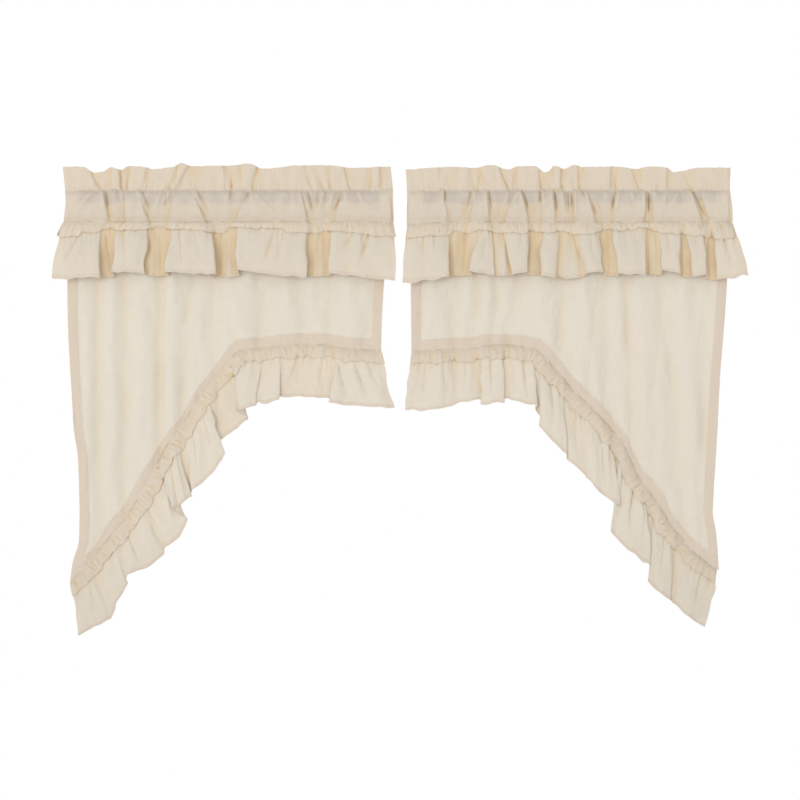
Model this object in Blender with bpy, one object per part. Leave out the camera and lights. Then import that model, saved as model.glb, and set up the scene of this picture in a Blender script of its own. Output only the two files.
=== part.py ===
"""A pair of swag panels in plain cotton muslin with gathered ruffles, as they hang level beside each other.

Each panel has a heading with a rod pocket, a valance ruffle with a narrow frill over it, a swag panel with
side hems and a faced curved edge, and a swag ruffle with its own frill that run down to a pointed tail.

The frame is metres, +X to the right, +Y to the back, +Z up, with the origin at the middle of the top edge.
The tables are in millimetres: x from the middle of the pair, drop down from the top edge, and forward
towards the room. "a" and "b" are the two ends of a row's stretch, in the order in which the rows run, and
"bow" is how far a section's hem curves out between them.
"""
from collections import namedtuple

import bpy
import numpy as np
from mathutils.geometry import tessellate_polygon

MM = 0.001

# The cloth, in millimetres
CLOTH = 1.2  # one layer
HEMMED = 2.2  # a hem or facing, folded double
HEADING = 2.6  # the two layers above the upper stitch line
LAYER_STEP = 2.4  # from one sewn layer's middle to the next
SEWN_GAP = 1.1  # between pieces that meet at a curved seam
POCKET_GAP = 0.5  # between the pocket and what is sewn under it
CLEAR = 2.0  # between cloth that hangs over other cloth

# Levels down from the top edge
STITCH = 44.0  # the upper stitch line, which is the top of the rod pocket
POCKET_SEAM = 106.0  # the lower seam of the pocket

MIDDLE = 300.0  # a level half way down the short side

# The heading
HEADER_FOLD_EDGE = 5.0  # how far across a header fold stands up
HEADER_GATHERED = 0.7  # the share of a header fold's depth that the stitch line takes away
POCKET_FOLD_EDGE = 8.0
POCKET_BULGE = 8.5
POCKET_EDGE = 3.0  # half the pocket's thickness at its lower seam
POCKET_FULL = 0.9  # the share of the pocket's height at which its folds are full

# The swag panel
SIDE_HEM = 19.0
FACING = 21.0
OPENS_OVER = 45.0  # how far under the pocket the panel's folds open out
FADE_FROM = 0.75  # the share of a fold's length at which it begins to fade
FADE_OVER = 0.35
FADE_AT_SEAM = 0.7  # the share of a fold's depth that the faced edge takes away

# The ruffles and frills
CORNER = 12.0  # how far in from its ends a wide section of a ruffle begins to turn
CORNER_SHARE = 0.3  # the widest corner, as a share of its section
FRILL_DEPTH = 27.0
FRILL_UNEVEN = ((0.08, 0.11, 0.0), (0.05, 0.29, 0.0))  # share, turns for each mm, start
VALANCE_PLEAT = 21.0
SWAG_PLEAT = 17.0
PLEAT_DEPTH = 3.5
PLEAT_UNEVEN = ((0.35, 1.7, 0.0), (0.25, 2.9, 1.0))  # share, turns for each pleat, start
SLOPE_REACH = 6.0  # how far to each side a seam's slope is taken
REACH = 12.0  # how far around a place the cloth behind a frill counts

# How finely the solids are cut
POCKET_COLUMNS = 47
HEADER_LEVELS = (0.0, 0.5, 1.0)  # shares of the way down to the stitch line
POCKET_LEVELS = (0.2, 0.5, 0.8)  # shares of the way from there to the seam
POCKET_INSIDE = (0.05, 0.95)
PANEL_COLUMNS = 27
PANEL_ROWS = 7
VALANCE_ROWS = 4
SWAG_ROWS = 5
FRILL_ROWS = 2
FOOT_ROUNDS = 8  # rounds that find where a column meets the curved edge
RASTER = 4.0  # the squares in which a frill looks for the cloth behind it
RASTER_FINE = 6  # samples of that cloth between its grid lines

MUSLIN = (0.79, 0.71, 0.60)
MUSLIN_ROUGHNESS = 0.92

Plate = namedtuple("Plate", "top_a top_b low_a low_b forward")
Section = namedtuple("Section", "seam_a seam_b hem_a drop_a hem_b drop_b forward bow", defaults=(0,))
Fold = namedtuple("Fold", "top low ends half forward")
Side = namedtuple(
    "Side",
    "name left_edge right_edge top_line heading pocket pocket_seam valance valance_frill "
    "panel_left panel_right panel_folds swag_seam swag",
)

LEFT = Side(
    name="left",
    # drop, x
    left_edge=((0, -657), (44, -653), (70, -650), (107, -656)),
    right_edge=((0, -18), (44, -14), (107, -12)),
    # x, drop
    top_line=(
        (-657, 1), (-614, 0), (-594, 11), (-579, 10), (-560, 2), (-540, 6), (-526, -1), (-491, 1),
        (-480, 5), (-440, 1), (-421, -6), (-400, -1), (-330, -2), (-289, -5), (-263, 4), (-195, -2),
        (-146, -3), (-90, 2), (-18, 0),
    ),
    heading=(
        Plate(-657, -601, -653, -585, 4),
        Plate(-564, -544, -566, -542, 7),
        Plate(-528, -491, -534, -501, 4),
        Plate(-487, -433, -495, -445, 2),
        Plate(-433, -410, -445, -433, 6),
        Plate(-390, -341, -394, -339, 4),
        Plate(-312, -277, -312, -287, 6),
        Plate(-277, -185, -281, -172, 2),
        Plate(-140, -107, -135, -98, 5),
        Plate(-58, -37, -58, -35, 4),
    ),
    pocket=(
        Plate(-651, -577, -655, -565, 5),
        Plate(-536, -513, -538, -487, 6),
        Plate(-437, -406, -454, -376, 6),
        Plate(-300, -277, -322, -179, 6),
        Plate(-113, -98, -131, -14, 5),
    ),
    pocket_seam=((-657, 106), (-60, 106), (-12, 109)),
    valance=(
        Section(-656, -586, -675, 220, -581, 217, 24),
        Section(-580, -552, -584, 216, -560, 215, 9),
        Section(-546, -492, -564, 204, -493, 209, 22),
        Section(-486, -448, -495, 212, -453, 213, 9),
        Section(-441, -372, -458, 206, -355, 212, 26),
        Section(-366, -326, -358, 214, -316, 214, 9),
        Section(-320, -182, -318, 200, -179, 218, 24),
        Section(-176, -138, -181, 213, -140, 212, 9),
        Section(-131, -13, -142, 208, -10, 224, 23),
    ),
    # x, drop of its lower edge
    valance_frill=(
        (-668, 138), (-627, 137), (-618, 129), (-594, 129), (-565, 119), (-542, 125), (-500, 124),
        (-472, 117), (-448, 122), (-390, 125), (-351, 131), (-326, 119), (-283, 121), (-234, 122),
        (-214, 130), (-156, 130), (-144, 125), (-98, 130), (-60, 134), (-8, 138),
    ),
    # drop, x
    panel_left=(
        (106, -650), (224, -649), (318, -647), (415, -642), (513, -636), (566, -628), (669, -625),
        (727, -626), (770, -638), (813, -644),
    ),
    panel_right=((106, -16), (224, -31), (318, -36), (357, -37)),
    panel_folds=(
        Fold(-615, -610, 760, 16, 3.0),
        Fold(-587, -591, 700, 14, -6.0),
        Fold(-562, -565, 680, 12, 2.5),
        Fold(-536, -538, 640, 14, -5.0),
        Fold(-500, -505, 600, 16, 2.0),
        Fold(-464, -470, 560, 11, -8.0),
        Fold(-443, -449, 560, 17, 6.5),
        Fold(-396, -423, 460, 15, -6.0),
        Fold(-357, -363, 420, 17, -6.5),
        Fold(-312, -308, 380, 18, 4.0),
        Fold(-267, -269, 360, 17, -6.0),
        Fold(-226, -228, 350, 16, 3.0),
        Fold(-185, -187, 350, 15, -5.5),
        Fold(-136, -138, 350, 13, -7.0),
        Fold(-97, -97, 350, 30, 5.0),
    ),
    # x, drop, from the short inner side to the tail
    swag_seam=(
        (-37, 356), (-97, 353), (-156, 345), (-195, 345), (-273, 352), (-312, 357), (-328, 370),
        (-351, 398), (-386, 437), (-410, 478), (-458, 549), (-491, 610), (-526, 670), (-565, 718),
        (-600, 762), (-624, 790), (-644, 813),
    ),
    swag=(
        Section(-37, -122, -10, 469, -138, 461, 22),
        Section(-130, -222, -134, 450, -235, 447, 6),
        Section(-228, -254, -232, 453, -266, 462, 20),
        Section(-258, -268, -270, 459, -280, 459, 9),
        Section(-270, -318, -279, 466, -322, 474, 20),
        Section(-326, -372, -298, 494, -350, 533, 5),
        Section(-380, -424, -339, 556, -402, 628, 22, 9),
        Section(-430, -434, -404, 632, -410, 642, 8),
        Section(-440, -468, -402, 642, -444, 667, 20),
        Section(-474, -506, -412, 684, -458, 742, 6, 10),
        Section(-512, -548, -457, 752, -524, 792, 20, 7),
        Section(-552, -558, -528, 790, -534, 806, 8),
        Section(-562, -592, -530, 812, -552, 850, 18),
        Section(-598, -604, -552, 862, -562, 878, 8),
        Section(-608, -643, -566, 880, -625, 911, 17),
    ),
)

RIGHT = Side(
    name="right",
    # drop, x
    left_edge=((0, 11), (58, 14), (113, 13)),
    right_edge=((0, 645), (44, 643), (84, 647), (107, 649)),
    # x, drop
    top_line=(
        (11, 6), (60, 3), (98, 0), (145, 2), (180, -3), (211, 5), (230, 0), (263, -1), (275, 6),
        (282, 11), (292, 8), (300, -1), (320, 4), (341, -3), (357, 1), (420, 0), (460, 4), (487, 0),
        (519, 2), (534, 10), (560, 6), (580, 2), (645, 2),
    ),
    heading=(
        Plate(12, 78, 14, 78, 3),
        Plate(113, 137, 109, 140, 2),
        Plate(152, 195, 170, 211, 5),
        Plate(226, 273, 228, 275, 4),
        Plate(296, 316, 296, 316, 7),
        Plate(324, 349, 324, 349, 3),
        Plate(355, 413, 355, 413, 5),
        Plate(423, 452, 423, 468, 2),
        Plate(468, 523, 470, 523, 4),
        Plate(575, 643, 571, 642, 3),
    ),
    pocket=(
        Plate(14, 86, 14, 96, 5),
        Plate(146, 170, 133, 176, 6),
        Plate(224, 236, 201, 253, 6),
        Plate(275, 296, 275, 306, 4),
        Plate(337, 361, 337, 384, 6),
        Plate(417, 480, 413, 478, 5),
        Plate(488, 565, 491, 593, 4),
        Plate(579, 640, 581, 642, 5),
    ),
    pocket_seam=((13, 113), (60, 109), (110, 106), (649, 107)),
    valance=(
        Section(14, 96, 5, 229, 94, 216, 24),
        Section(102, 150, 97, 213, 136, 212, 9),
        Section(156, 177, 133, 204, 185, 213, 22),
        Section(181, 196, 184, 212, 219, 211, 9),
        Section(200, 254, 217, 212, 250, 206, 22),
        Section(258, 270, 252, 212, 273, 212, 10),
        Section(275, 307, 271, 212, 302, 218, 20),
        Section(312, 340, 304, 215, 356, 216, 9),
        Section(345, 386, 363, 208, 398, 207, 22),
        Section(392, 408, 398, 212, 421, 213, 9),
        Section(413, 479, 421, 209, 478, 212, 24),
        Section(484, 498, 481, 211, 505, 211, 9),
        Section(503, 540, 507, 201, 544, 211, 22),
        Section(545, 550, 546, 214, 564, 215, 9),
        Section(554, 590, 565, 215, 597, 211, 20),
        Section(595, 604, 598, 220, 613, 221, 10),
        Section(609, 648, 613, 222, 675, 213, 24),
    ),
    # x, drop of its lower edge
    valance_frill=(
        (10, 142), (50, 137), (97, 135), (107, 125), (127, 131), (162, 123), (185, 130), (205, 129),
        (244, 131), (254, 125), (293, 130), (316, 125), (341, 133), (371, 133), (400, 123), (439, 125),
        (472, 120), (507, 129), (546, 133), (585, 135), (624, 142), (652, 140),
    ),
    # drop, x
    panel_left=((106, 20), (230, 21), (337, 22), (361, 22)),
    panel_right=(
        (106, 642), (220, 638), (337, 630), (415, 624), (532, 618), (649, 611), (673, 610),
        (708, 616), (737, 619), (786, 622),
    ),
    panel_folds=(
        Fold(60, 60, 350, 22, 3.0),
        Fold(105, 103, 350, 16, -4.5),
        Fold(154, 152, 350, 13, -7.0),
        Fold(170, 168, 350, 15, 5.0),
        Fold(193, 185, 350, 12, -5.0),
        Fold(248, 210, 360, 13, -6.0),
        Fold(282, 272, 370, 16, 3.5),
        Fold(322, 316, 410, 15, -6.0),
        Fold(358, 362, 450, 16, 3.0),
        Fold(396, 413, 510, 17, -6.0),
        Fold(443, 456, 560, 13, -8.0),
        Fold(464, 477, 560, 17, 6.0),
        Fold(500, 560, 700, 17, -6.0),
        Fold(545, 580, 700, 18, 3.0),
        Fold(585, 595, 700, 14, -3.5),
    ),
    # x, drop, from the short inner side to the tail
    swag_seam=(
        (22, 359), (78, 355), (137, 352), (176, 346), (205, 346), (254, 352), (270, 358), (283, 371),
        (312, 404), (341, 437), (371, 466), (413, 511), (433, 534), (450, 571), (468, 606), (503, 655),
        (530, 699), (569, 746), (595, 768), (621, 786),
    ),
    swag=(
        Section(23, 100, 10, 474, 102, 466, 22, 4),
        Section(107, 152, 112, 460, 158, 452, 8),
        Section(158, 196, 156, 463, 205, 460, 22),
        Section(200, 204, 202, 449, 212, 449, 9),
        Section(208, 256, 212, 452, 271, 464, 19, 3),
        Section(261, 270, 268, 478, 274, 486, 6),
        Section(276, 316, 268, 503, 327, 562, 20, 3),
        Section(322, 350, 324, 569, 361, 600, 8),
        Section(356, 416, 365, 606, 430, 661, 20, 7),
        Section(423, 432, 424, 668, 418, 690, 6),
        Section(438, 480, 407, 710, 486, 778, 22),
        Section(486, 494, 484, 780, 490, 796, 7),
        Section(500, 534, 480, 805, 526, 844, 20, 3),
        Section(540, 548, 524, 842, 532, 850, 8),
        Section(553, 619, 534, 850, 591, 895, 18, 4),
    ),
)


def curve(rows):
    """A smooth line through rows of (place, value) that never overshoots them, as a function of place."""
    place, value = np.array(sorted(rows), float).T
    step = np.diff(place)
    slope = np.diff(value) / step
    product = slope[:-1] * slope[1:]
    same_way = product > 0
    total = np.where(same_way, slope[:-1] + slope[1:], 1.0)
    inner = np.where(same_way, 2 * product / total, 0.0)
    tangent = np.concatenate([slope[:1], inner, slope[-1:]])

    def at(where):
        where = np.clip(where, place[0], place[-1])
        i = np.clip(np.searchsorted(place, where) - 1, 0, len(step) - 1)
        t = (where - place[i]) / step[i]
        rise = value[i] * (1 - t) ** 2 * (1 + 2 * t) + value[i + 1] * t**2 * (3 - 2 * t)
        lean = step[i] * t * (1 - t) * (tangent[i] * (1 - t) - tangent[i + 1] * t)
        return rise + lean

    return at


def smooth(share):
    """0 to 1 with soft ends."""
    share = np.clip(share, 0.0, 1.0)
    return share * share * (3 - 2 * share)


def mix(a, b, share):
    return a + (b - a) * share


def points(x, forward, drop):
    """Places in the frame, in millimetres."""
    return np.stack(np.broadcast_arrays(x, -np.asarray(forward), -np.asarray(drop)), axis=-1)


def plates_at(plates, x, share, edge):
    """How far flat folds stand forward at x, where share runs from their top to their low end."""
    out = np.zeros(np.broadcast(x, share).shape)
    for plate in plates:
        a = mix(plate.top_a, plate.low_a, share)
        b = mix(plate.top_b, plate.low_b, share)
        out = np.maximum(out, plate.forward * smooth((x - a) / edge) * smooth((b - x) / edge))
    return out


def finish(name, places, faces):
    """Makes a closed mesh from places in millimetres, with its faces turned outwards."""
    places = np.asarray(places, float) * MM
    faces = np.asarray(faces)
    corners = places[faces]
    volume = np.einsum("ij,ij->i", corners[:, 0], np.cross(corners[:, 1], corners[:, 2])).sum()
    if volume < 0:
        faces = faces[:, ::-1]
    mesh = bpy.data.meshes.new(name)
    mesh.from_pydata(places.tolist(), [], faces.tolist())
    mesh.shade_smooth()
    mesh.materials.append(cloth_material(name))
    piece = bpy.data.objects.new(name, mesh)
    bpy.context.collection.objects.link(piece)
    return piece


def cloth_material(name):
    material = bpy.data.materials.new(name + "_muslin")
    material.use_nodes = True
    shader = material.node_tree.nodes["Principled BSDF"]
    shader.inputs["Base Color"].default_value = (*MUSLIN, 1.0)
    shader.inputs["Roughness"].default_value = MUSLIN_ROUGHNESS
    shader.inputs["Metallic"].default_value = 0.0
    return material


def squares(index):
    """Two triangles for each square of a grid of point numbers."""
    a, b, c, d = index[:-1, :-1], index[1:, :-1], index[1:, 1:], index[:-1, 1:]
    one = np.stack([a, b, c], axis=-1).reshape(-1, 3)
    two = np.stack([a, c, d], axis=-1).reshape(-1, 3)
    return np.concatenate([one, two])


def sheet(name, middle, thick):
    """A closed solid of cloth on a grid of its middle points, columns by rows, its top row flush at a seam."""
    normal = np.cross(np.gradient(middle, axis=0), np.gradient(middle, axis=1))
    normal /= np.linalg.norm(normal, axis=2, keepdims=True)
    if normal[..., 1].sum() > 0:
        normal = -normal
    normal[:, 0] = (0.0, -1.0, 0.0)
    half = np.broadcast_to(thick, middle.shape[:2])[..., None] / 2
    columns, rows = middle.shape[:2]
    front = np.arange(columns * rows).reshape(columns, rows)
    back = front + columns * rows
    rim = np.concatenate([front[:, 0], front[-1, 1:], front[-2::-1, -1], front[0, -2::-1]])
    wall = np.stack([rim, rim + columns * rows], axis=1)
    faces = np.concatenate([squares(front), squares(back)[:, ::-1], squares(wall)[:, ::-1]])
    places = np.concatenate([(middle + normal * half).reshape(-1, 3), (middle - normal * half).reshape(-1, 3)])
    return finish(name, places, faces)


def corner_columns(sections):
    """The columns that steer a ruffle, each with its seam x, hem x, hem drop and forward."""
    columns = []
    for part in sections:
        a = np.array([part.seam_a, part.hem_a, part.drop_a, part.forward], float)
        b = np.array([part.seam_b, part.hem_b, part.drop_b, part.forward], float)
        width = np.hypot(b[1] - a[1], b[2] - a[2])
        way = np.sign(b[0] - a[0])
        outward = np.array([0.0, way * (a[2] - b[2]), way * (b[1] - a[1]), 0.0]) / width
        inset = CORNER / width
        shares = [0.0, 1.0]
        if inset < CORNER_SHARE:
            shares = [0.0, inset, 1 - inset, 1.0]
        if part.bow:
            shares = sorted(shares + [0.5])
        for share in shares:
            columns.append(mix(a, b, share) + outward * part.bow * 4 * share * (1 - share))
    return np.array(columns)


def rounded(columns, times):
    """The columns with each corner cut off, times over. The first and the last stay."""
    for _ in range(times):
        near = mix(columns[:-1], columns[1:], 0.25)
        far = mix(columns[:-1], columns[1:], 0.75)
        cut = np.stack([near, far], axis=1).reshape(-1, columns.shape[1])
        columns = np.concatenate([columns[:1], cut, columns[-1:]])
    return columns


def under(seam, x, gap):
    """The drop a small gap below a seam, measured square to it."""
    slope = (seam(x + 1.0) - seam(x - 1.0)) / 2.0
    return seam(x) + gap * np.sqrt(1 + slope**2)


def ruffle_points(sections, seam, seam_forward, gap, rows):
    """A wide ruffle's middle points, from its gathered seam down to its wavy hem."""
    seam_x, hem_x, hem_drop, hem_forward = rounded(corner_columns(sections), 1).T[:, :, None]
    share = np.linspace(0.0, 1.0, rows + 1)[None, :]
    top = under(seam, seam_x, gap)
    start = seam_forward(seam_x, seam(seam_x))
    x = mix(seam_x, hem_x, share)
    forward = mix(start, hem_forward, 1 - (1 - share) ** 2)
    return points(x, forward, mix(top, hem_drop, share))


def front_of(middle):
    """How far forward a sheet comes within reach of a place, as a function of x and drop."""
    across = np.linspace(0, middle.shape[0] - 1, middle.shape[0] * RASTER_FINE)
    down = np.linspace(0, middle.shape[1] - 1, middle.shape[1] * RASTER_FINE)
    i = np.minimum(across.astype(int), middle.shape[0] - 2)
    j = np.minimum(down.astype(int), middle.shape[1] - 2)
    u, v = (across - i)[:, None, None], (down - j)[None, :, None]
    upper = mix(middle[i][:, j], middle[i + 1][:, j], u)
    lower = mix(middle[i][:, j + 1], middle[i + 1][:, j + 1], u)
    dense = mix(upper, lower, v).reshape(-1, 3)
    low = dense.min(axis=0) - 2 * REACH
    cells = ((dense - low)[:, [0, 2]] / RASTER).astype(int)
    size = cells.max(axis=0) + int(3 * REACH / RASTER) + 2
    nearest = np.full(size, -np.inf)
    np.maximum.at(nearest, tuple(cells.T), -dense[:, 1])
    steps = range(-round(REACH / RASTER), round(REACH / RASTER) + 1)
    widened = np.max([np.roll(nearest, (a, b), (0, 1)) for a in steps for b in steps], axis=0)

    def at(x, drop):
        i = np.clip(((x - low[0]) / RASTER).astype(int), 0, size[0] - 1)
        j = np.clip(((-drop - low[2]) / RASTER).astype(int), 0, size[1] - 1)
        return widened[i, j]

    return at


def uneven(waves, place):
    """1, with a few waves of (share, turns, start) added along a place."""
    return 1 + sum(share * np.sin(turns * place + start) for share, turns, start in waves)


def pleat_steps(start, stop, pitch):
    """Places from start to stop, two for each pleat of a gathered frill, unevenly spaced."""
    step = uneven(PLEAT_UNEVEN, np.arange(2 * round(abs(stop - start) / pitch)))
    return start + (stop - start) * np.concatenate([[0.0], np.cumsum(step)]) / step.sum()


def frill_points(top, foot, seam_level, front, rows):
    """A narrow frill's middle points between its seam and its lower edge, lying over what hangs behind it."""
    share = np.linspace(0.0, 1.0, rows + 1)[None, :]
    x = mix(top[0][:, None], foot[0][:, None], share)
    drop = mix(top[1][:, None], foot[1][:, None], share)
    pleat = PLEAT_DEPTH * (np.arange(len(top[0])) % 2)[:, None] * share
    forward = np.maximum(front(x, drop) + CLEAR + CLOTH, seam_level[:, None] + CLEAR * share) + pleat
    forward[:, 0] = seam_level
    return points(x, forward, drop)


def heading_pocket(side):
    """The gathered header and, under its stitch line, the hollow rod pocket, open at both ends.

    Its lines run across the panel. Layer 1 is the front one and layer -1 the back one.
    """
    left, right = curve(side.left_edge), curve(side.right_edge)
    share = np.linspace(0.0, 1.0, POCKET_COLUMNS + 1)
    at_stitch = mix(left(STITCH), right(STITCH), share)
    crest = curve(side.top_line)(at_stitch)
    floor = curve(side.pocket_seam)(at_stitch) - POCKET_GAP

    def header_line(down, layer):
        drop = mix(crest, STITCH, down)
        x = mix(left(drop), right(drop), share)
        folds = plates_at(side.heading, x, down, HEADER_FOLD_EDGE) * (1 - HEADER_GATHERED * down)
        return points(x, folds + layer * HEADING / 2, drop)

    def pocket_line(down, forward):
        drop = mix(STITCH, floor, down)
        return points(mix(left(drop), right(drop), share), forward, drop)

    def wall_line(down, layer, inside):
        line = pocket_line(down, 0.0)
        swell = mix(HEADING / 2, POCKET_EDGE, down) + POCKET_BULGE * (1 - abs(2 * down - 1) ** 3)
        line[:, 1] -= layer * (swell - inside * CLOTH)
        if layer == 1:
            full = np.sin(np.pi / 2 * min(down / POCKET_FULL, 1.0))
            line[:, 1] -= plates_at(side.pocket, line[:, 0], down, POCKET_FOLD_EDGE) * full
        return line

    outer = [header_line(down, 1) for down in HEADER_LEVELS]
    outer += [wall_line(down, 1, 0) for down in POCKET_LEVELS]
    outer += [pocket_line(1.0, POCKET_EDGE), pocket_line(1.0, -POCKET_EDGE)]
    outer += [wall_line(down, -1, 0) for down in reversed(POCKET_LEVELS)]
    outer += [header_line(down, -1) for down in reversed(HEADER_LEVELS)]
    inner = [pocket_line(POCKET_INSIDE[0], 0.0)]
    inner += [wall_line(down, 1, 1) for down in POCKET_LEVELS]
    inner += [pocket_line(POCKET_INSIDE[1], 0.0)]
    inner += [wall_line(down, -1, 1) for down in reversed(POCKET_LEVELS)]
    return tube(side.name + "_heading_pocket", np.array(outer), np.array(inner))


def ring(index):
    """A grid of point numbers with its first line again at its end."""
    return np.concatenate([index, index[:1]])


def tube(name, outer, inner):
    """A closed solid between an outer and an inner ring of lines that run from one end to the other."""
    columns = outer.shape[1]
    places = np.concatenate([outer.reshape(-1, 3), inner.reshape(-1, 3)])
    number = np.arange(len(places))
    skin = number[: outer.shape[0] * columns].reshape(-1, columns)
    lining = number[outer.shape[0] * columns :].reshape(-1, columns)
    faces = [squares(ring(skin)), squares(ring(lining))[:, ::-1]]
    for end in (0, -1):
        loops = [places[skin[:, end]][:, [1, 2]], places[lining[:, end]][:, [1, 2]]]
        index = np.concatenate([skin[:, end], lining[:, end]])
        cap = tessellate_polygon([[(*p, 0.0) for p in loop] for loop in loops])
        cap = index[np.array(cap)]
        faces.append(facing(places, cap, 1 if end else -1))
    return finish(name, places, np.concatenate(faces))


def facing(places, faces, way):
    """Flat faces turned to look along +X or -X."""
    a, b, c = (places[faces[:, i]] for i in range(3))
    turned = np.cross(b - a, c - a)[:, 0] * way < 0
    faces = faces.copy()
    faces[turned] = faces[turned][:, ::-1]
    return faces


def panel_forward(side):
    """How far forward the swag panel stands, as a function of x and drop."""

    def at(x, drop):
        out = np.zeros(np.broadcast(x, drop).shape)
        for fold in side.panel_folds:
            along = (drop - POCKET_SEAM) / (fold.ends - POCKET_SEAM)
            middle = mix(fold.top, fold.low, np.clip(along, 0.0, 1.0))
            dies = 1 - FADE_AT_SEAM * smooth((along - FADE_FROM) / FADE_OVER)
            out += fold.forward * np.exp(-(((x - middle) / fold.half) ** 2)) * dies
        fade = 1 - np.exp((POCKET_SEAM - drop) / OPENS_OVER)
        return out * fade - LAYER_STEP

    return at


def panel_foot(side):
    """The panel's columns, as shares of its width, and where they meet its curved lower edge."""
    left, right, seam = curve(side.panel_left), curve(side.panel_right), curve(side.swag_seam)
    hem = SIDE_HEM / (right(MIDDLE) - left(MIDDLE))
    share = np.concatenate([[0.0], np.linspace(hem, 1 - hem, PANEL_COLUMNS - 1), [1.0]])
    foot_x = mix(left(MIDDLE), right(MIDDLE), share)
    for _ in range(FOOT_ROUNDS):
        foot = seam(foot_x)
        foot_x = mix(left(foot), right(foot), share)
    return share, foot_x, seam(foot_x)


def swag_line(side):
    """The curved lower edge as the panel's columns make it, as a function of x."""
    _, foot_x, foot = panel_foot(side)

    def at(x):
        return np.interp(x, foot_x, foot)

    return at


def swag_panel(side):
    """The main cloth, hemmed at its sides and faced along its curved lower edge."""
    left, right = curve(side.panel_left), curve(side.panel_right)
    forward, pocket_seam = panel_forward(side), curve(side.pocket_seam)
    share, foot_x, foot = panel_foot(side)
    band = under(curve(side.swag_seam), foot_x, -FACING)
    top = pocket_seam(mix(left(POCKET_SEAM), right(POCKET_SEAM), share)) + POCKET_GAP
    down = np.linspace(0.0, 1.0, PANEL_ROWS + 1)
    drop = np.concatenate([mix(top[:, None], band[:, None], down[None, :]), foot[:, None]], axis=1)
    x = mix(left(drop), right(drop), share[:, None])
    thick = np.full(drop.shape, CLOTH)
    thick[:, -1] = HEMMED
    thick[[0, -1], :] = HEMMED
    thick[:, 0] = CLOTH
    return sheet(side.name + "_swag_panel", points(x, forward(x, drop), drop), thick)


def valance(side):
    """The wide valance ruffle, and the narrow frill over its top."""
    seam = curve(side.pocket_seam)

    def against_pocket(x, drop):
        return np.zeros(np.broadcast(x, drop).shape)

    wide = ruffle_points(side.valance, seam, against_pocket, POCKET_GAP, VALANCE_ROWS)
    sheet(side.name + "_valance_ruffle", wide, CLOTH)
    edge = side.valance_frill
    top_x = pleat_steps(side.valance[0].seam_a, side.valance[-1].seam_b, VALANCE_PLEAT)
    foot_x = np.interp(top_x, [top_x[0], top_x[-1]], [edge[0][0], edge[-1][0]])
    top = (top_x, seam(top_x) + POCKET_GAP)
    foot = (foot_x, curve(edge)(foot_x))
    level = np.full(len(top_x), LAYER_STEP)
    narrow = frill_points(top, foot, level, front_of(wide), FRILL_ROWS)
    sheet(side.name + "_valance_frill", narrow, CLOTH)


def swag_ruffles(side):
    """The wide ruffle along the curved edge, and the narrow frill over its top."""
    seam, forward = swag_line(side), panel_forward(side)

    def behind_panel(x, drop):
        return forward(x, drop) - LAYER_STEP / 2

    wide = ruffle_points(side.swag, seam, behind_panel, SEWN_GAP, SWAG_ROWS)
    sheet(side.name + "_swag_ruffle", wide, CLOTH)
    top_x = pleat_steps(side.swag[0].seam_a, side.swag[-1].seam_b, SWAG_PLEAT)
    slope = (seam(top_x + SLOPE_REACH) - seam(top_x - SLOPE_REACH)) / (2 * SLOPE_REACH)
    long = np.sqrt(1 + slope**2)
    top = (top_x, under(seam, top_x, SEWN_GAP))
    depth = FRILL_DEPTH * uneven(FRILL_UNEVEN, top_x)
    foot = (top_x - slope / long * depth, top[1] + depth / long)
    level = forward(*top) + LAYER_STEP / 2
    narrow = frill_points(top, foot, level, front_of(wide), FRILL_ROWS)
    sheet(side.name + "_swag_frill", narrow, CLOTH)


def main():
    for old in list(bpy.data.objects):
        bpy.data.objects.remove(old, do_unlink=True)
    for side in (LEFT, RIGHT):
        heading_pocket(side)
        swag_panel(side)
        valance(side)
        swag_ruffles(side)


main()
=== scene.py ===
"""The looks of a pair of ruffled muslin swag panels: their folds, hems, stitches, weave and light.

Each panel is sewn from a heading with a rod pocket, a valance ruffle and frill, a swag panel with side hems
and a faced curved edge, and a swag ruffle and frill that run down to a pointed tail.

The tables are in millimetres: x from the middle of the pair, drop down from the top edge, and forward
towards the room. "a" and "b" are the two ends of a row's stretch, in the order in which the rows run, and
"bow" is how far a section's hem curves out between them.
"""
from collections import namedtuple
from math import pi, radians

import bpy
import numpy as np
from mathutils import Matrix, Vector
from mathutils.geometry import tessellate_polygon


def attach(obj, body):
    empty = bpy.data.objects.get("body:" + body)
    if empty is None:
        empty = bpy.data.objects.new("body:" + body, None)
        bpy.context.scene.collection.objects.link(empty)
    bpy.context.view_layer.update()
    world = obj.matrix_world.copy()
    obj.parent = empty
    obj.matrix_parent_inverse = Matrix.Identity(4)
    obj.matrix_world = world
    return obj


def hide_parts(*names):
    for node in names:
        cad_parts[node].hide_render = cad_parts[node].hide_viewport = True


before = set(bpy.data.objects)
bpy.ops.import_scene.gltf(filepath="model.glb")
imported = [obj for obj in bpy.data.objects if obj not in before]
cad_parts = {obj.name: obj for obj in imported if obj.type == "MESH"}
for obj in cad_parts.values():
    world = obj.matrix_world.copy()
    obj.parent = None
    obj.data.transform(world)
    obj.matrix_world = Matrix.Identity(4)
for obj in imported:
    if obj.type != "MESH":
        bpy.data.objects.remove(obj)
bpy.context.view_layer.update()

MM = 0.001

# The cloth, in millimetres
MUSLIN = 0.8  # one layer
HEMMED = 1.5  # a hem or facing, folded double
HEADER = 2.0  # the two layers above the upper stitch line
LAYER_STEP = 1.4  # from one sewn layer's middle to the next
SEAM_GAP = 0.3
OVER = 0.2  # the air between a frill and the ruffle under it

# Levels down from the top edge
STITCH = 44.0  # the upper stitch line, which is the top of the rod pocket
POCKET_SEAM = 106.0
MIDDLE = 300.0  # a level half way down the short side

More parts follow.
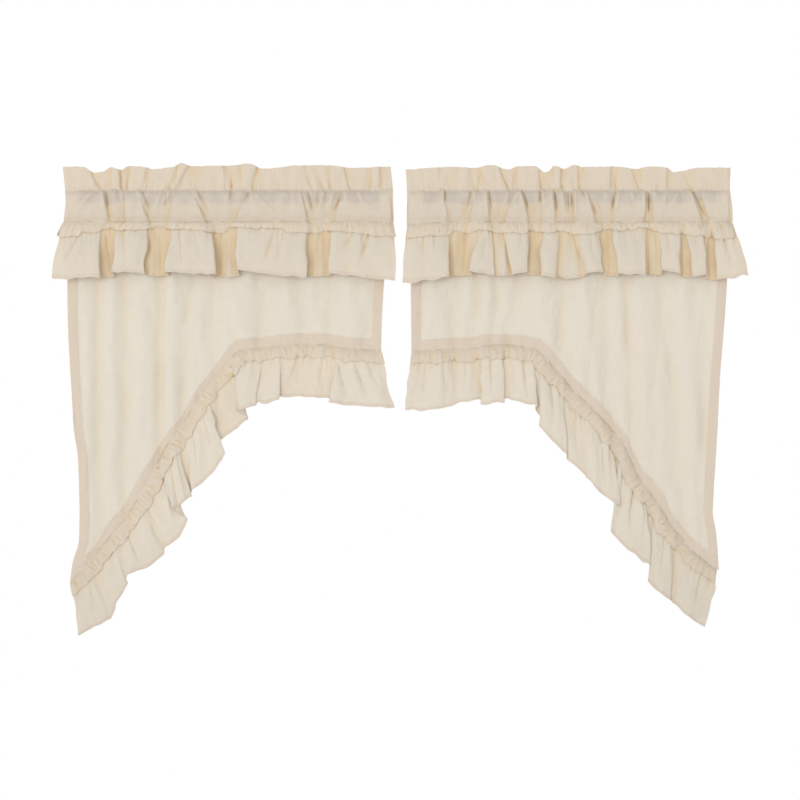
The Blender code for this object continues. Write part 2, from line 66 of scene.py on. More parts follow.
# The heading
HEADER_FOLD_EDGE = 5.0
HEADER_GATHERED = 0.6
POCKET_FOLD_EDGE = 3.2
POCKET_BULGE = 8.5
POCKET_EDGE = 1.6
POCKET_FULL = 0.9
PLATE_STANDS = 1.05  # how much further than its row says a pocket plate stands at its low end
SEAM_EDGE = 9.0
SEAM_BACK = 2.0  # how far back the pocket's lower seam lies between the plates

# The swag panel
PANEL_FOLDS = 0.85  # how deep its folds hang, as a share of their rows
SWAG_HOLLOW_SHADE = 0.3  # how strong the painted warm shade in the swag ruffle's hollows is, as a share of the valance's
SIDE_HEM = 19.0
OPENS_OVER = 45.0
FADE_FROM = 0.75
FADE_OVER = 0.35
FADE_AT_SEAM = 0.7

# The ruffles and frills
CORNER = 8.0
CORNER_SHARE = 0.3
SWELL = 2.5  # how far the middle of a lobe stands out past its sides
TUCK = 8.0  # how far a section that lies back runs on under its neighbours
LIES_BACK = 12.0  # a section less far forward than this lies back
BELLY = 3.0  # how far a ruffle's own two ends curve out
RUFFLE_HEM = 7.0
FRILL_HEM = 2.5
FRILL_DEPTH = 27.0
FRILL_UNEVEN = ((0.08, 0.11, 0.0), (0.05, 0.29, 0.0))

# The stitches
THREAD = 0.45
STITCH_LONG = 2.3
STITCH_PITCH = 3.2
STITCH_SUNK = 0.1

# Painted shade tones that the cloth's own colour is multiplied by: warm in hollows, dark brown in thin
# creases, and grey over the pocket's band and the tail
HOLLOW_SHADE_TONE = (1.03, 0.925, 0.735)
CREASE_SHADE_TONE = (0.70, 0.55, 0.38)
BAND_SHADE_TONE = (0.81, 0.84, 0.91)
THREAD_TONES = ((0.72, 0.63, 0.51), (0.80, 0.72, 0.61))
TAIL_SHADE = 0.25  # how much of the band's painted grey shade and of the hollows' painted warm shade the tail is given, to paint it darker
TAIL_HOLLOW_SHADE = 0.06
TAIL_FROM = 640.0
TAIL_OVER = 200.0

# The meshes
SHARP_FROM = 62.0
HEADING_COLUMNS = 501
HEADER_LINES = 18
POCKET_LINES = 30
PANEL_COLUMNS = 200
PANEL_ROWS = 52
HEM_COLUMNS = 6
RUFFLE_PITCH = 1.6
RUFFLE_ROWS = 26
FRILL_ROWS = 9
VALANCE_FRILL_COLUMNS = 860
SWAG_FRILL_COLUMNS = 1100
VALANCE_FRILL_DEPTH = 22.0
RASTER = 2.0
REACH = 6.0
SEEDS = {"left": 100, "right": 200}

Plate = namedtuple("Plate", "top_a top_b low_a low_b forward")
Section = namedtuple("Section", "seam_a seam_b hem_a drop_a hem_b drop_b forward bow")
Fold = namedtuple("Fold", "top low ends half forward")
Crease = namedtuple("Crease", "x_a drop_a x_b drop_b half forward")
Side = namedtuple(
    "Side",
    "name left_edge right_edge top_line heading header_creases pocket pocket_creases pocket_seam "
    "valance valance_frill valance_creases "
    "panel_left panel_right panel_folds panel_creases swag_seam facing swag swag_creases",
)

ROW_KINDS = {
    "heading": Plate, "header_creases": Crease, "pocket": Plate, "pocket_creases": Crease,
    "valance": Section, "valance_creases": Crease,
    "panel_folds": Fold, "panel_creases": Crease,
    "swag": Section, "swag_creases": Crease,
}


def panel_side(**tables):
    """A side's tables, with each row as its kind."""
    for table, kind in ROW_KINDS.items():
        tables[table] = [kind(*row) for row in tables[table]]
    return Side(**tables)


LEFT = panel_side(
    name="left",
    # drop, x
    left_edge=((0, -657), (44, -653), (70, -650), (107, -656)),
    right_edge=((0, -18), (44, -14), (107, -12)),
    # x, drop
    top_line=(
        (-657, 1), (-614, 0), (-594, 11), (-579, 10), (-560, 2), (-540, 6), (-526, -1), (-491, 1),
        (-480, 5), (-440, 1), (-421, -6), (-400, -1), (-330, -2), (-289, -5), (-263, 4), (-195, -2),
        (-146, -3), (-90, 2), (-18, 0),
    ),
    heading=(
        (-657, -601, -653, -585, 4), (-564, -544, -566, -542, 7), (-528, -491, -534, -501, 4),
        (-487, -433, -495, -445, 2), (-433, -410, -445, -433, 6), (-390, -341, -394, -339, 4),
        (-312, -277, -312, -287, 6), (-277, -185, -281, -172, 2), (-140, -107, -135, -98, 5),
        (-58, -37, -58, -35, 4),
    ),
    # each crease from the stitch line up
    header_creases=(
        (-583, 45, -604, 4, 3, -4), (-616, 40, -634, 12, 5, 2), (-556, 42, -555, 2, 8, 2.5),
        (-543, 45, -545, 6, 3, -3), (-538, 43, -534, 4, 4, 2.5), (-533, 45, -528, 2, 3, -3),
        (-505, 45, -515, 24, 3, -1.6), (-501, 45, -503, 16, 3, -1.6), (-495, 45, -489, 2, 3, -3.5),
        (-458, 43, -472, 18, 7, 3), (-452, 45, -434, 2, 3.5, -3.6), (-444, 42, -424, -4, 7, 3),
        (-404, 42, -413, 22, 3, -2.5), (-398, 45, -396, 2, 3, -2.6), (-334, 42, -344, 4, 6, 2.5),
        (-328, 46, -328, -2, 3.5, -4), (-300, 43, -298, -4, 9, 3), (-287, 45, -285, 4, 3, -2.6),
        (-232, 44, -238, 14, 5, -1.4), (-172, 45, -187, 2, 3, -3), (-160, 42, -176, 2, 5, 2.6),
        (-148, 46, -166, 0, 3, -3), (-140, 43, -152, 2, 4, 2), (-135, 46, -142, 2, 3, -2.6),
        (-98, 45, -107, 3, 3, -3), (-88, 42, -70, 8, 7, 1.6), (-58, 45, -60, 6, 3, -1.5),
        (-50, 43, -48, 4, 8, 2.4), (-36, 45, -37, 4, 3, -1.5),
    ),
    pocket=(
        (-651, -577, -655, -565, 5), (-536, -513, -538, -487, 6), (-437, -406, -454, -376, 6),
        (-300, -192, -322, -178, 6), (-113, -18, -131, -14, 5),
    ),
    # each crease from the stitch line down
    pocket_creases=(
        (-599, 48, -634, 98, 5, 3), (-581, 44, -572, 88, 4, 3.5), (-573, 46, -566, 94, 3, -3.6),
        (-551, 44, -548, 72, 4, -1.8), (-543, 44, -539, 76, 3.5, 3), (-510, 46, -491, 98, 4, 3),
        (-502, 46, -481, 96, 3, -3.6), (-466, 46, -476, 90, 4, 1.6), (-455, 48, -457, 88, 3, -3),
        (-449, 42, -464, 80, 3.5, 3.2), (-443, 48, -458, 86, 3, -2.4), (-404, 42, -382, 84, 5, 3),
        (-395, 44, -367, 100, 4, -2.8), (-334, 45, -338, 76, 4, 2.6), (-328, 45, -332, 66, 3, -3.2),
        (-294, 48, -318, 98, 4, -3.2), (-287, 44, -291, 74, 4, 4), (-283, 50, -230, 104, 4, 1.6),
        (-277, 54, -221, 104, 3, -0.8), (-211, 44, -204, 82, 4, 2), (-186, 54, -174, 98, 4, 3.5),
        (-179, 48, -166, 100, 3.5, -4), (-160, 46, -162, 96, 3, -2), (-150, 44, -158, 94, 3, 3),
        (-143, 46, -149, 92, 3, -3), (-128, 44, -141, 88, 3.5, 2.8), (-112, 56, -137, 98, 3.5, -3.6),
        (-107, 44, -103, 78, 4, 3.5), (-82, 46, -68, 84, 4, 2.6), (-70, 70, -32, 102, 5, 1.8),
    ),
    pocket_seam=((-657, 106), (-60, 106), (-12, 109)),
    valance=(
        (-656, -586, -675, 220, -581, 217, 24, 0), (-580, -552, -584, 216, -560, 215, 9, 0),
        (-546, -492, -564, 204, -493, 209, 22, 0), (-486, -448, -495, 212, -453, 213, 9, 0),
        (-441, -372, -458, 206, -355, 212, 26, 0), (-366, -326, -358, 214, -316, 214, 9, 0),
        (-320, -182, -318, 201, -179, 216, 24, 4), (-176, -138, -181, 213, -140, 212, 9, 0),
        (-131, -13, -142, 208, -10, 224, 23, 0),
    ),
    # x, drop of its lower edge
    valance_frill=(
        (-668, 138), (-627, 137), (-618, 129), (-594, 129), (-565, 119), (-542, 125), (-500, 124),
        (-472, 117), (-448, 122), (-390, 125), (-351, 131), (-326, 119), (-283, 121), (-234, 122),
        (-214, 130), (-156, 130), (-144, 125), (-98, 130), (-60, 134), (-8, 138),
    ),
    valance_creases=(
        (-624, 130, -659, 205, 5, -2.6), (-538, 128, -534, 190, 4, -2), (-429, 120, -421, 205, 5, -2.6),
        (-400, 122, -394, 165, 4, -1.4), (-246, 130, -268, 200, 5, -2.6), (-226, 128, -240, 196, 4, -2),
        (-290, 120, -296, 160, 4, -1.4), (-60, 128, -84, 208, 5, -3), (-92, 126, -114, 170, 4, -2.2),
        (-573, 130, -562, 215, 4, -1.7), (-482, 122, -484, 300, 5, 1.4), (-468, 122, -464, 300, 6, -1.5),
        (-349, 122, -354, 300, 6, -1.5), (-334, 122, -330, 300, 5, 1.4), (-169, 126, -173, 300, 6, -1.5),
        (-154, 126, -150, 300, 5, 1.2),
    ),
    # drop, x
    panel_left=(
        (106, -650), (224, -649), (318, -647), (415, -642), (513, -636), (566, -628), (669, -625),
        (727, -626), (770, -638), (813, -644),
    ),
    panel_right=((106, -16), (224, -31), (318, -36), (357, -37)),
    panel_folds=(
        (-615, -610, 760, 16, 3), (-587, -591, 700, 14, -6), (-562, -565, 680, 12, 2.5),
        (-536, -538, 640, 14, -5), (-500, -505, 600, 16, 2), (-464, -470, 560, 11, -8),
        (-443, -449, 560, 17, 6.5), (-396, -423, 460, 15, -6), (-357, -363, 420, 17, -6.5),
        (-312, -308, 380, 18, 4), (-267, -269, 360, 17, -6), (-226, -228, 350, 16, 3),
        (-185, -187, 350, 15, -5.5), (-136, -138, 350, 13, -7), (-97, -97, 350, 30, 5),
    ),
    panel_creases=(
        (-453, 205, -461, 560, 3.5, 1.6), (-130, 205, -132, 345, 3.5, 1.2), (-396, 215, -420, 440, 4, 1),
        (-590, 210, -596, 560, 4, -0.8),
    ),
    # x, drop, from the short inner side to the tail
    swag_seam=(
        (-37, 356), (-97, 353), (-156, 345), (-195, 345), (-273, 352), (-312, 357), (-328, 370),
        (-351, 398), (-386, 437), (-410, 478), (-458, 549), (-491, 610), (-526, 670), (-565, 718),
        (-600, 762), (-624, 790), (-644, 813),
    ),
    # x, width
    facing=(
        (-644, 19), (-510, 18), (-480, 14), (-450, 10), (-392, 10), (-350, 15), (-305, 20), (-37, 21),
    ),
    swag=(
        (-37, -122, -10, 469, -138, 461, 20, 2), (-130, -222, -134, 450, -235, 447, 11, 0),
        (-228, -254, -232, 453, -266, 462, 19, 0), (-258, -268, -270, 459, -280, 459, 13, 0),
        (-270, -318, -279, 466, -322, 474, 20, 0), (-326, -372, -298, 494, -350, 533, 9, 0),
        (-380, -424, -339, 556, -402, 628, 20, 9), (-430, -434, -404, 632, -410, 642, 12, 0),
        (-440, -468, -402, 642, -444, 667, 20, 0), (-474, -506, -412, 684, -458, 742, 13, 10),
        (-512, -548, -457, 752, -524, 792, 16.5, 7), (-552, -558, -528, 790, -534, 806, 14, 0),
        (-562, -592, -530, 812, -552, 850, 17, 2), (-598, -604, -552, 862, -562, 878, 14.5, 0),
        (-608, -643, -566, 880, -625, 911, 17, 2),
    ),
    swag_creases=(
        (-121, 378, -101, 462, 5, -3), (-88, 384, -57, 462, 5, -3.2), (-64, 382, -36, 440, 4, -2.2),
        (-150, 372, -158, 430, 5, -2), (-196, 372, -200, 420, 5, -1.8), (-404, 520, -392, 600, 5, -2.6),
        (-386, 478, -360, 560, 5, -2), (-440, 548, -408, 700, 4, 2.6), (-451, 556, -424, 700, 4, -2.4),
        (-462, 566, -442, 720, 4, 2.4), (-532, 716, -500, 780, 5, -2.4), (-496, 660, -462, 720, 5, -2),
        (-606, 800, -590, 880, 5, -2.2),
    ),
)

RIGHT = panel_side(
    name="right",
    # drop, x
    left_edge=((0, 11), (58, 14), (113, 13)),
    right_edge=((0, 645), (44, 643), (84, 647), (107, 649)),
    # x, drop
    top_line=(
        (11, 6), (60, 3), (98, 0), (145, 2), (180, -3), (211, 5), (230, 0), (263, -1), (275, 6),
        (282, 11), (292, 8), (300, -1), (320, 4), (341, -3), (357, 1), (420, 0), (460, 4), (487, 0),
        (519, 2), (534, 10), (560, 6), (580, 2), (645, 2),
    ),
    heading=(
        (12, 78, 14, 78, 3), (113, 137, 109, 140, 2), (152, 195, 170, 211, 5), (226, 273, 228, 275, 4),
        (296, 316, 296, 316, 7), (324, 349, 324, 349, 3), (355, 413, 355, 413, 5), (423, 452, 423, 468, 2),
        (468, 523, 470, 523, 4), (575, 643, 571, 642, 3),
    ),
    header_creases=(
        (72, 45, 79, 4, 4, -1.6), (122, 43, 125, 2, 9, 2.4), (147, 45, 137, 8, 3, -2.6),
        (151, 46, 160, 4, 3, -2.8), (174, 45, 175, 14, 3, -1.6), (213, 46, 196, 4, 3, -4),
        (216, 40, 217, 2, 7, 2.2), (219, 46, 228, 4, 3, -2.6), (258, 45, 258, 20, 3, -1.4),
        (277, 46, 270, 4, 3, -3.6), (285, 44, 284, 8, 8, -2.6), (296, 45, 297, 0, 4, 3.4),
        (310, 43, 303, 2, 5, 2), (318, 46, 306, 8, 3, -3), (323, 43, 326, 6, 4, 2),
        (342, 46, 336, 22, 3, -2.2), (351, 46, 349, 4, 3, -3.6), (357, 44, 356, 4, 4, 1.8),
        (400, 40, 405, 8, 13, 2.4), (421, 46, 418, 2, 3, -3.2), (466, 46, 454, 6, 3, -3.6),
        (468, 45, 484, 24, 3, -1.6), (499, 45, 511, 10, 4, -2), (508, 43, 518, 8, 6, 1.6),
        (521, 45, 525, 8, 3, -2.2), (544, 44, 540, 8, 8, 1.6), (569, 46, 552, 8, 3, -3.2),
        (590, 42, 577, 8, 12, 2.2),
    ),
    pocket=(
        (14, 86, 14, 96, 5), (146, 170, 133, 176, 6), (224, 236, 201, 253, 6), (275, 296, 275, 306, 4),
        (337, 361, 337, 384, 6), (417, 480, 413, 478, 5), (488, 562, 491, 592, 5), (579, 640, 600, 642, 4),
    ),
    pocket_creases=(
        (45, 48, 40, 82, 4, 1.8), (84, 43, 81, 80, 3.5, 3.4), (89, 44, 86, 82, 3, -3.6),
        (139, 46, 127, 98, 3, -3.4), (145, 43, 142, 80, 3.5, 3.4), (166, 46, 172, 98, 4, 2),
        (173, 44, 180, 100, 3, -4), (211, 46, 203, 84, 3.5, 2.6), (231, 44, 220, 74, 3.5, 3),
        (224, 62, 203, 90, 3.5, 2), (232, 44, 246, 94, 4, 2.8), (238, 44, 255, 98, 3, -4.4),
        (273, 44, 272, 84, 3, -3.6), (279, 46, 277, 88, 4, 2.6), (294, 54, 274, 86, 4, 1.8),
        (295, 44, 300, 98, 4, 3), (301, 44, 307, 100, 3, -4.4), (316, 44, 319, 96, 4, 3),
        (327, 47, 330, 98, 4, -3), (334, 45, 335, 102, 3, -3.2), (341, 44, 341, 96, 4, 3.4),
        (354, 43, 360, 62, 4, -4), (360, 46, 378, 84, 4, 3.5), (366, 54, 388, 104, 3, -3.6),
        (376, 66, 398, 104, 4, 2.2), (402, 48, 398, 72, 4, 1.8), (420, 44, 410, 96, 3, -3.6),
        (427, 45, 418, 94, 4, 3), (450, 46, 458, 70, 3.5, 2.2), (474, 45, 479, 98, 4, 3),
        (484, 48, 485, 104, 3, -4.6), (497, 46, 487, 82, 3.5, 2.2), (519, 46, 508, 86, 4, 2.8),
        (542, 50, 522, 86, 4, 2.2), (560, 43, 576, 72, 3.5, 3), (562, 46, 590, 104, 3.5, 3.4),
        (569, 46, 598, 104, 3, -3.2), (581, 42, 575, 60, 3, 2.2), (620, 50, 616, 80, 6, 1.4),
    ),
    pocket_seam=((13, 113), (60, 109), (110, 106), (649, 107)),
    valance=(
        (14, 96, 5, 229, 94, 216, 24, 0), (102, 150, 97, 213, 136, 212, 9, 0),
        (156, 177, 133, 204, 185, 213, 22, 0), (181, 196, 184, 212, 219, 213, 12.5, 0),
        (200, 254, 217, 212, 250, 206, 22, 0), (258, 270, 252, 212, 273, 212, 10, 0),
        (275, 307, 271, 212, 302, 218, 20, 0), (312, 340, 304, 215, 356, 217, 13, 2),
        (345, 386, 363, 208, 398, 207, 22, 0), (392, 408, 398, 212, 421, 213, 9, 0),
        (413, 479, 421, 209, 478, 212, 24, 0), (484, 498, 481, 211, 505, 211, 9, 0),
        (503, 540, 507, 201, 544, 211, 22, 0), (545, 550, 546, 214, 564, 215, 9, 0),
        (554, 590, 565, 215, 597, 211, 20, 0), (595, 604, 598, 220, 613, 221, 10, 0),
        (609, 648, 613, 222, 675, 213, 24, 0),
    ),
    # x, drop of its lower edge
    valance_frill=(
        (10, 142), (50, 137), (97, 135), (107, 125), (127, 131), (162, 123), (185, 130), (205, 129),
        (244, 131), (254, 125), (293, 130), (316, 125), (341, 133), (371, 133), (400, 123), (439, 125),
        (472, 120), (507, 129), (546, 133), (585, 135), (624, 142), (652, 140),
    ),
    valance_creases=(
        (46, 128, 44, 180, 4, -1.6), (66, 128, 70, 170, 4, -1.4), (168, 128, 160, 190, 4, -1.8),
        (236, 124, 232, 180, 4, -1.6), (370, 128, 376, 190, 4, -1.8), (436, 124, 440, 176, 4, -1.6),
        (520, 124, 524, 180, 4, -2), (574, 130, 578, 190, 4, -1.8), (628, 132, 648, 206, 5, -2.2),
        (109, 122, 106, 300, 6, 1.4), (127, 122, 120, 300, 6, -1.5), (202, 122, 206, 300, 6, 1.7),
        (252, 122, 253, 300, 4, -1.1), (324, 122, 322, 210, 5, 1.3), (330, 122, 338, 205, 4, -1.5),
        (316, 122, 309, 200, 4, -1.2), (334, 124, 358, 210, 3.5, -2.2), (405, 122, 409, 300, 5, -1.5),
        (483, 120, 485, 300, 4, -1.6), (494, 120, 495, 300, 5, 1.4), (548, 128, 550, 300, 3.5, -1.4),
        (600, 130, 604, 300, 5, -1.8),
    ),
    # drop, x
    panel_left=((106, 20), (230, 21), (337, 22), (361, 22)),
    panel_right=(
        (106, 642), (220, 638), (337, 630), (415, 624), (532, 618), (649, 611), (673, 610),
        (708, 616), (737, 619), (786, 622),
    ),
    panel_folds=(
        (60, 60, 350, 22, 3), (105, 103, 350, 16, -4.5), (154, 152, 350, 13, -7), (170, 168, 350, 15, 5),
        (193, 185, 350, 12, -5), (248, 210, 360, 13, -6), (282, 272, 370, 16, 3.5), (322, 316, 410, 15, -6),
        (358, 362, 450, 16, 3), (396, 413, 510, 17, -6), (443, 456, 560, 13, -8), (464, 477, 560, 17, 6),
        (500, 560, 700, 17, -6), (545, 580, 700, 18, 3), (585, 595, 700, 14, -3.5),
    ),
    panel_creases=(
        (160, 205, 158, 345, 3.5, 1.4), (246, 215, 212, 335, 4, 1.2), (450, 205, 460, 560, 3.5, 1.5),
        (506, 300, 560, 680, 4, 1),
    ),
    # x, drop, from the short inner side to the tail
    swag_seam=(
        (22, 359), (78, 355), (137, 352), (176, 346), (205, 346), (254, 352), (270, 358), (283, 371),
        (312, 404), (341, 437), (371, 466), (413, 511), (433, 534), (450, 571), (468, 606), (503, 655),
        (530, 699), (569, 746), (595, 768), (621, 786),
    ),
    # x, width
    facing=((22, 21), (256, 20), (312, 17), (400, 17), (440, 11), (462, 11), (495, 17), (621, 19)),
    swag=(
        (23, 100, 10, 474, 102, 466, 20, 4), (107, 152, 112, 460, 158, 452, 12, 0),
        (158, 196, 156, 463, 205, 460, 20, 0), (200, 204, 202, 449, 212, 449, 13, 0),
        (208, 256, 212, 452, 271, 464, 15, 3), (261, 270, 268, 478, 274, 486, 10, 0),
        (276, 316, 268, 503, 327, 562, 20, 3), (322, 350, 324, 569, 361, 600, 12, 0),
        (356, 416, 365, 606, 430, 661, 19, 7), (423, 432, 424, 668, 418, 690, 13, 0),
        (438, 480, 407, 710, 486, 778, 20, 3), (486, 494, 484, 780, 490, 796, 13.5, 0),
        (500, 534, 480, 805, 526, 844, 18, 3), (540, 548, 524, 842, 532, 850, 13, 0),
        (553, 619, 534, 850, 591, 895, 18, 4),
    ),
    swag_creases=(
        (50, 384, 42, 462, 5, -2.4), (84, 380, 88, 440, 4, -1.8), (128, 376, 126, 440, 4, -1.8),
        (176, 372, 180, 450, 5, -2.4), (240, 374, 250, 464, 5, -2.6), (214, 374, 226, 450, 6, -2.6),
        (296, 420, 300, 510, 5, -2.4), (342, 470, 344, 560, 5, -2), (392, 520, 398, 610, 5, -2.6),
        (458, 620, 440, 720, 5, -2.6), (516, 710, 506, 800, 5, -2.4), (586, 790, 572, 860, 5, -2.2),
    ),
)


# Lines, folds and waves

def curve(rows):
    """A smooth line through rows of (place, value) that never overshoots them, as a function of place."""
    place, value = np.array(sorted(rows), float).T
    step = np.diff(place)
    slope = np.diff(value) / step
    product = slope[:-1] * slope[1:]
    same_way = product > 0
    total = np.where(same_way, slope[:-1] + slope[1:], 1.0)
    inner = np.where(same_way, 2 * product / total, 0.0)
    tangent = np.concatenate([slope[:1], inner, slope[-1:]])

    def at(where):
        where = np.clip(where, place[0], place[-1])
        i = np.clip(np.searchsorted(place, where) - 1, 0, len(step) - 1)
        t = (where - place[i]) / step[i]
        rise = value[i] * (1 - t) ** 2 * (1 + 2 * t) + value[i + 1] * t**2 * (3 - 2 * t)
        lean = step[i] * t * (1 - t) * (tangent[i] * (1 - t) - tangent[i + 1] * t)
        return rise + lean

    return at


def smooth(share):
    """0 to 1 with soft ends."""
    share = np.clip(share, 0.0, 1.0)
    return share * share * (3 - 2 * share)


def mix(a, b, share):
    return a + (b - a) * share


def points(x, forward, drop):
    """Places in the frame, in millimetres."""
    return np.stack(np.broadcast_arrays(x, -np.asarray(forward), -np.asarray(drop)), axis=-1)


def plates_at(plates, x, share, edge):
    """How far flat folds stand forward at x, where share runs from their top to their low end."""
    out = np.zeros(np.broadcast(x, share).shape)
    for plate in plates:
        a = mix(plate.top_a, plate.low_a, share)
        b = mix(plate.top_b, plate.low_b, share)
        out = np.maximum(out, plate.forward * smooth((x - a) / edge) * smooth((b - x) / edge))
    return out


def creases_at(creases, x, drop, kept=0.0):
    """The troughs and ridges of a table: each starts sharp and opens and dies down towards its other end."""
    out = np.zeros(np.broadcast(x, drop).shape)
    for row in creases:
        run, fall = row.x_b - row.x_a, row.drop_b - row.drop_a
        long = np.hypot(run, fall)
        along = ((x - row.x_a) * run + (drop - row.drop_a) * fall) / long**2
        off = ((x - row.x_a) * fall - (drop - row.drop_a) * run) / long
        half = row.half * (0.7 + 0.6 * np.clip(along, 0.0, 1.0))
        across = np.exp(-((off / half) ** 2)) if row.forward > 0 else np.exp(-1.3 * abs(off) / half)
        ends = smooth((along + 0.04) / 0.14) * (kept + (1 - kept) * smooth((1 - along) / 0.5))
        out += row.forward * across * ends
    return out


def uneven(waves, place):
    """1, with a few waves of (share, turns, start) added along a place."""
    return 1 + sum(share * np.sin(turns * place + start) for share, turns, start in waves)


def crumple(x, y, pitch, stretch, seed, count=28):
    """Soft chance waves about 1 high, pitch long across and stretch times as long down the cloth."""
    chance = np.random.default_rng(seed)
    out = 0.0
    for _ in range(count):
        turn, start = chance.uniform(0, 2 * pi, 2)
        size = pitch * chance.uniform(0.6, 1.7)
        out = out + np.sin(2 * pi * (x * np.cos(turn) + y * np.sin(turn) / stretch) / size + start)
    return out / np.sqrt(count / 2)


def gathers(place, start, stop, pitch, seed):
    """Rounded ridges with sharp valleys between them, 0 to 1, unevenly spaced from start to stop."""
    chance = np.random.default_rng(seed)
    count = max(2, round((stop - start) / pitch))
    step = chance.uniform(0.5, 1.7, count)
    edge = start + np.concatenate([[0.0], np.cumsum(step)]) * (stop - start) / step.sum()
    height = chance.uniform(0.4, 1.0, count)
    where = np.clip(place, start, stop - 0.001)
    i = np.clip(np.searchsorted(edge, where, side="right") - 1, 0, count - 1)
    t = (where - edge[i]) / (edge[i + 1] - edge[i])
    return height[i] * np.sqrt(np.clip(4 * t * (1 - t), 0.0, 1.0))


def drawn(along, down, pitch, wide, shortness, seed):
    """Folds that run down from a gathered seam: many short ones, and a few that reach the hem."""
    chance = np.random.default_rng(seed)
    out = np.zeros((len(along), down.shape[1]))
    place = along[0]
    while place < along[-1]:
        long = 0.12 + 0.95 * chance.uniform() ** shortness
        width = wide * chance.uniform(0.7, 1.3) * (0.7 + long)
        lean = chance.normal(0.0, 8.0) * long
        height = chance.uniform(0.7, 1.5) * chance.choice([-1.0, 1.0])
        near = slice(*np.searchsorted(along, (place - 36, place + 36)))
        share = np.clip(down / long, 0.0, 1.0)
        off = along[near, None] - place - lean * share
        across = np.exp(-((off / (width * (0.7 + 0.8 * share))) ** 2))
        out[near] += height * across * smooth(down / 0.04) * smooth((1 - share) / 0.6)
        place += pitch * chance.uniform(0.4, 1.6)
    return out


def averaged(values, reach, axis):
    """A running average of a grid over so many places to each side along one axis."""
    edges = [(0, 0)] * values.ndim
    edges[axis] = (reach + 1, reach)
    total = np.cumsum(np.pad(values, edges, mode="edge"), axis=axis)
    place = np.arange(values.shape[axis])
    later = np.take(total, place + 2 * reach + 1, axis=axis)
    return (later - np.take(total, place, axis=axis)) / (2 * reach + 1)


def hollows(stands, reach, axis=0):
    """How deep each place of a grid lies behind what is round it, in millimetres."""
    return averaged(averaged(stands, reach, axis), reach, axis) - stands


def shaded(wide, thin):
    """The painted recess shade: up to a half for wide hollows, and the rest for thin deep creases."""
    return 0.5 * np.clip(wide, 0.0, 1.0) + 0.5 * np.clip(thin, 0.0, 1.0)


# Meshes

def quads(index):
    """The squares of a grid of point numbers."""
    return np.stack([index[:-1, :-1], index[1:, :-1], index[1:, 1:], index[:-1, 1:]], axis=-1).reshape(-1, 4)


def cloth_mesh(name, places, faces, flat, marks):
    """A mesh from places in millimetres, with its flat places as UVs and its marks as attributes."""
    places = np.asarray(places, float) * MM
    corners = places[np.array([face[:3] for face in faces])]
    a, b, c = (corners[:, i] for i in range(3))
    volume = np.einsum("ij,ij->i", a, np.cross(b - a, c - a)).sum()
    if volume < 0:
        faces = [face[::-1] for face in faces]
    mesh = bpy.data.meshes.new(name)
    mesh.from_pydata(places.tolist(), [], [list(map(int, face)) for face in faces])
    mesh.shade_smooth()
    layer = mesh.uv_layers.new(name="cloth")
    corner_point = np.empty(len(mesh.loops), dtype=np.int32)
    mesh.loops.foreach_get("vertex_index", corner_point)
    layer.uv.foreach_set("vector", (np.asarray(flat)[corner_point] * MM).astype(np.float32).ravel())
    for mark, values in marks.items():
        attribute = mesh.attributes.new(mark, "FLOAT", "POINT")
        attribute.data.foreach_set("value", np.asarray(values, np.float32).ravel())
    mesh.set_sharp_from_angle(angle=radians(SHARP_FROM))
    piece = bpy.data.objects.new(name, mesh)
    bpy.context.collection.objects.link(piece)
    return piece


def normals_of(middle):
    """The direction in which each point of a sheet faces, towards the room."""
    normal = np.cross(np.gradient(middle, axis=0), np.gradient(middle, axis=1))
    normal /= np.maximum(np.linalg.norm(normal, axis=2, keepdims=True), 1e-9)
    if normal[..., 1].sum() > 0:
        normal = -normal
    return normal


def sheet(name, middle, thick, flat, marks):
    """A closed thin sheet on a grid of its middle points, columns by rows."""
    normal = normals_of(middle)
    normal[:, 0] = (0.0, -1.0, 0.0)
    half = np.broadcast_to(thick, middle.shape[:2])[..., None] / 2
    front, back = middle + normal * half, middle - normal * half
    columns, rows = middle.shape[:2]
    number = np.arange(columns * rows).reshape(columns, rows)
    rim = np.concatenate([number[:, 0], number[-1, 1:], number[-2::-1, -1], number[0, -2::-1]])
    wall = np.stack([rim, rim + columns * rows], axis=1)
    faces = np.concatenate([quads(number), quads(number + columns * rows)[:, ::-1], quads(wall)[:, ::-1]])
    places = np.concatenate([front.reshape(-1, 3), back.reshape(-1, 3)])
    both = {}
    for mark, value in marks.items():
        both[mark] = np.tile(np.broadcast_to(value, (columns, rows)).ravel(), 2)
    piece = cloth_mesh(name, places, faces.tolist(), np.tile(flat.reshape(-1, 2), (2, 1)), both)
    return piece, front, normal


def lengths(line):
    """How far along a line of places each place is."""
    return np.concatenate([[0.0], np.cumsum(np.linalg.norm(np.diff(line, axis=0), axis=1))])


# Ruffles

def corner_columns(sections):
    """The columns that steer a ruffle, each with its seam x, hem x, hem drop and forward."""
    columns = []
    for part in sections:
        a = np.array([part.seam_a, part.hem_a, part.drop_a, part.forward], float)
        b = np.array([part.seam_b, part.hem_b, part.drop_b, part.forward], float)
        width = np.hypot(b[1] - a[1], b[2] - a[2])
        way = np.sign(b[0] - a[0])
        outward = np.array([0.0, way * (a[2] - b[2]), way * (b[1] - a[1]), 0.0]) / width
        inset = CORNER / width
        shares = [0.0, 1.0]
        if inset < CORNER_SHARE:
            shares = [0.0, inset, 0.5, 1 - inset, 1.0]
        lies_back = part.forward < LIES_BACK
        tuck = np.array([0.0, 1.0, 1.0, 0.0]) * TUCK / width * lies_back
        swell = np.array([0.0, 0.0, 0.0, -SWELL if lies_back else SWELL])
        for share in shares:
            curved = 4 * share * (1 - share)
            place = mix(a, b, share) + (outward * part.bow + swell) * curved
            columns.append(place + (b - a) * tuck * (2 * share - 1))
    return np.array(columns)


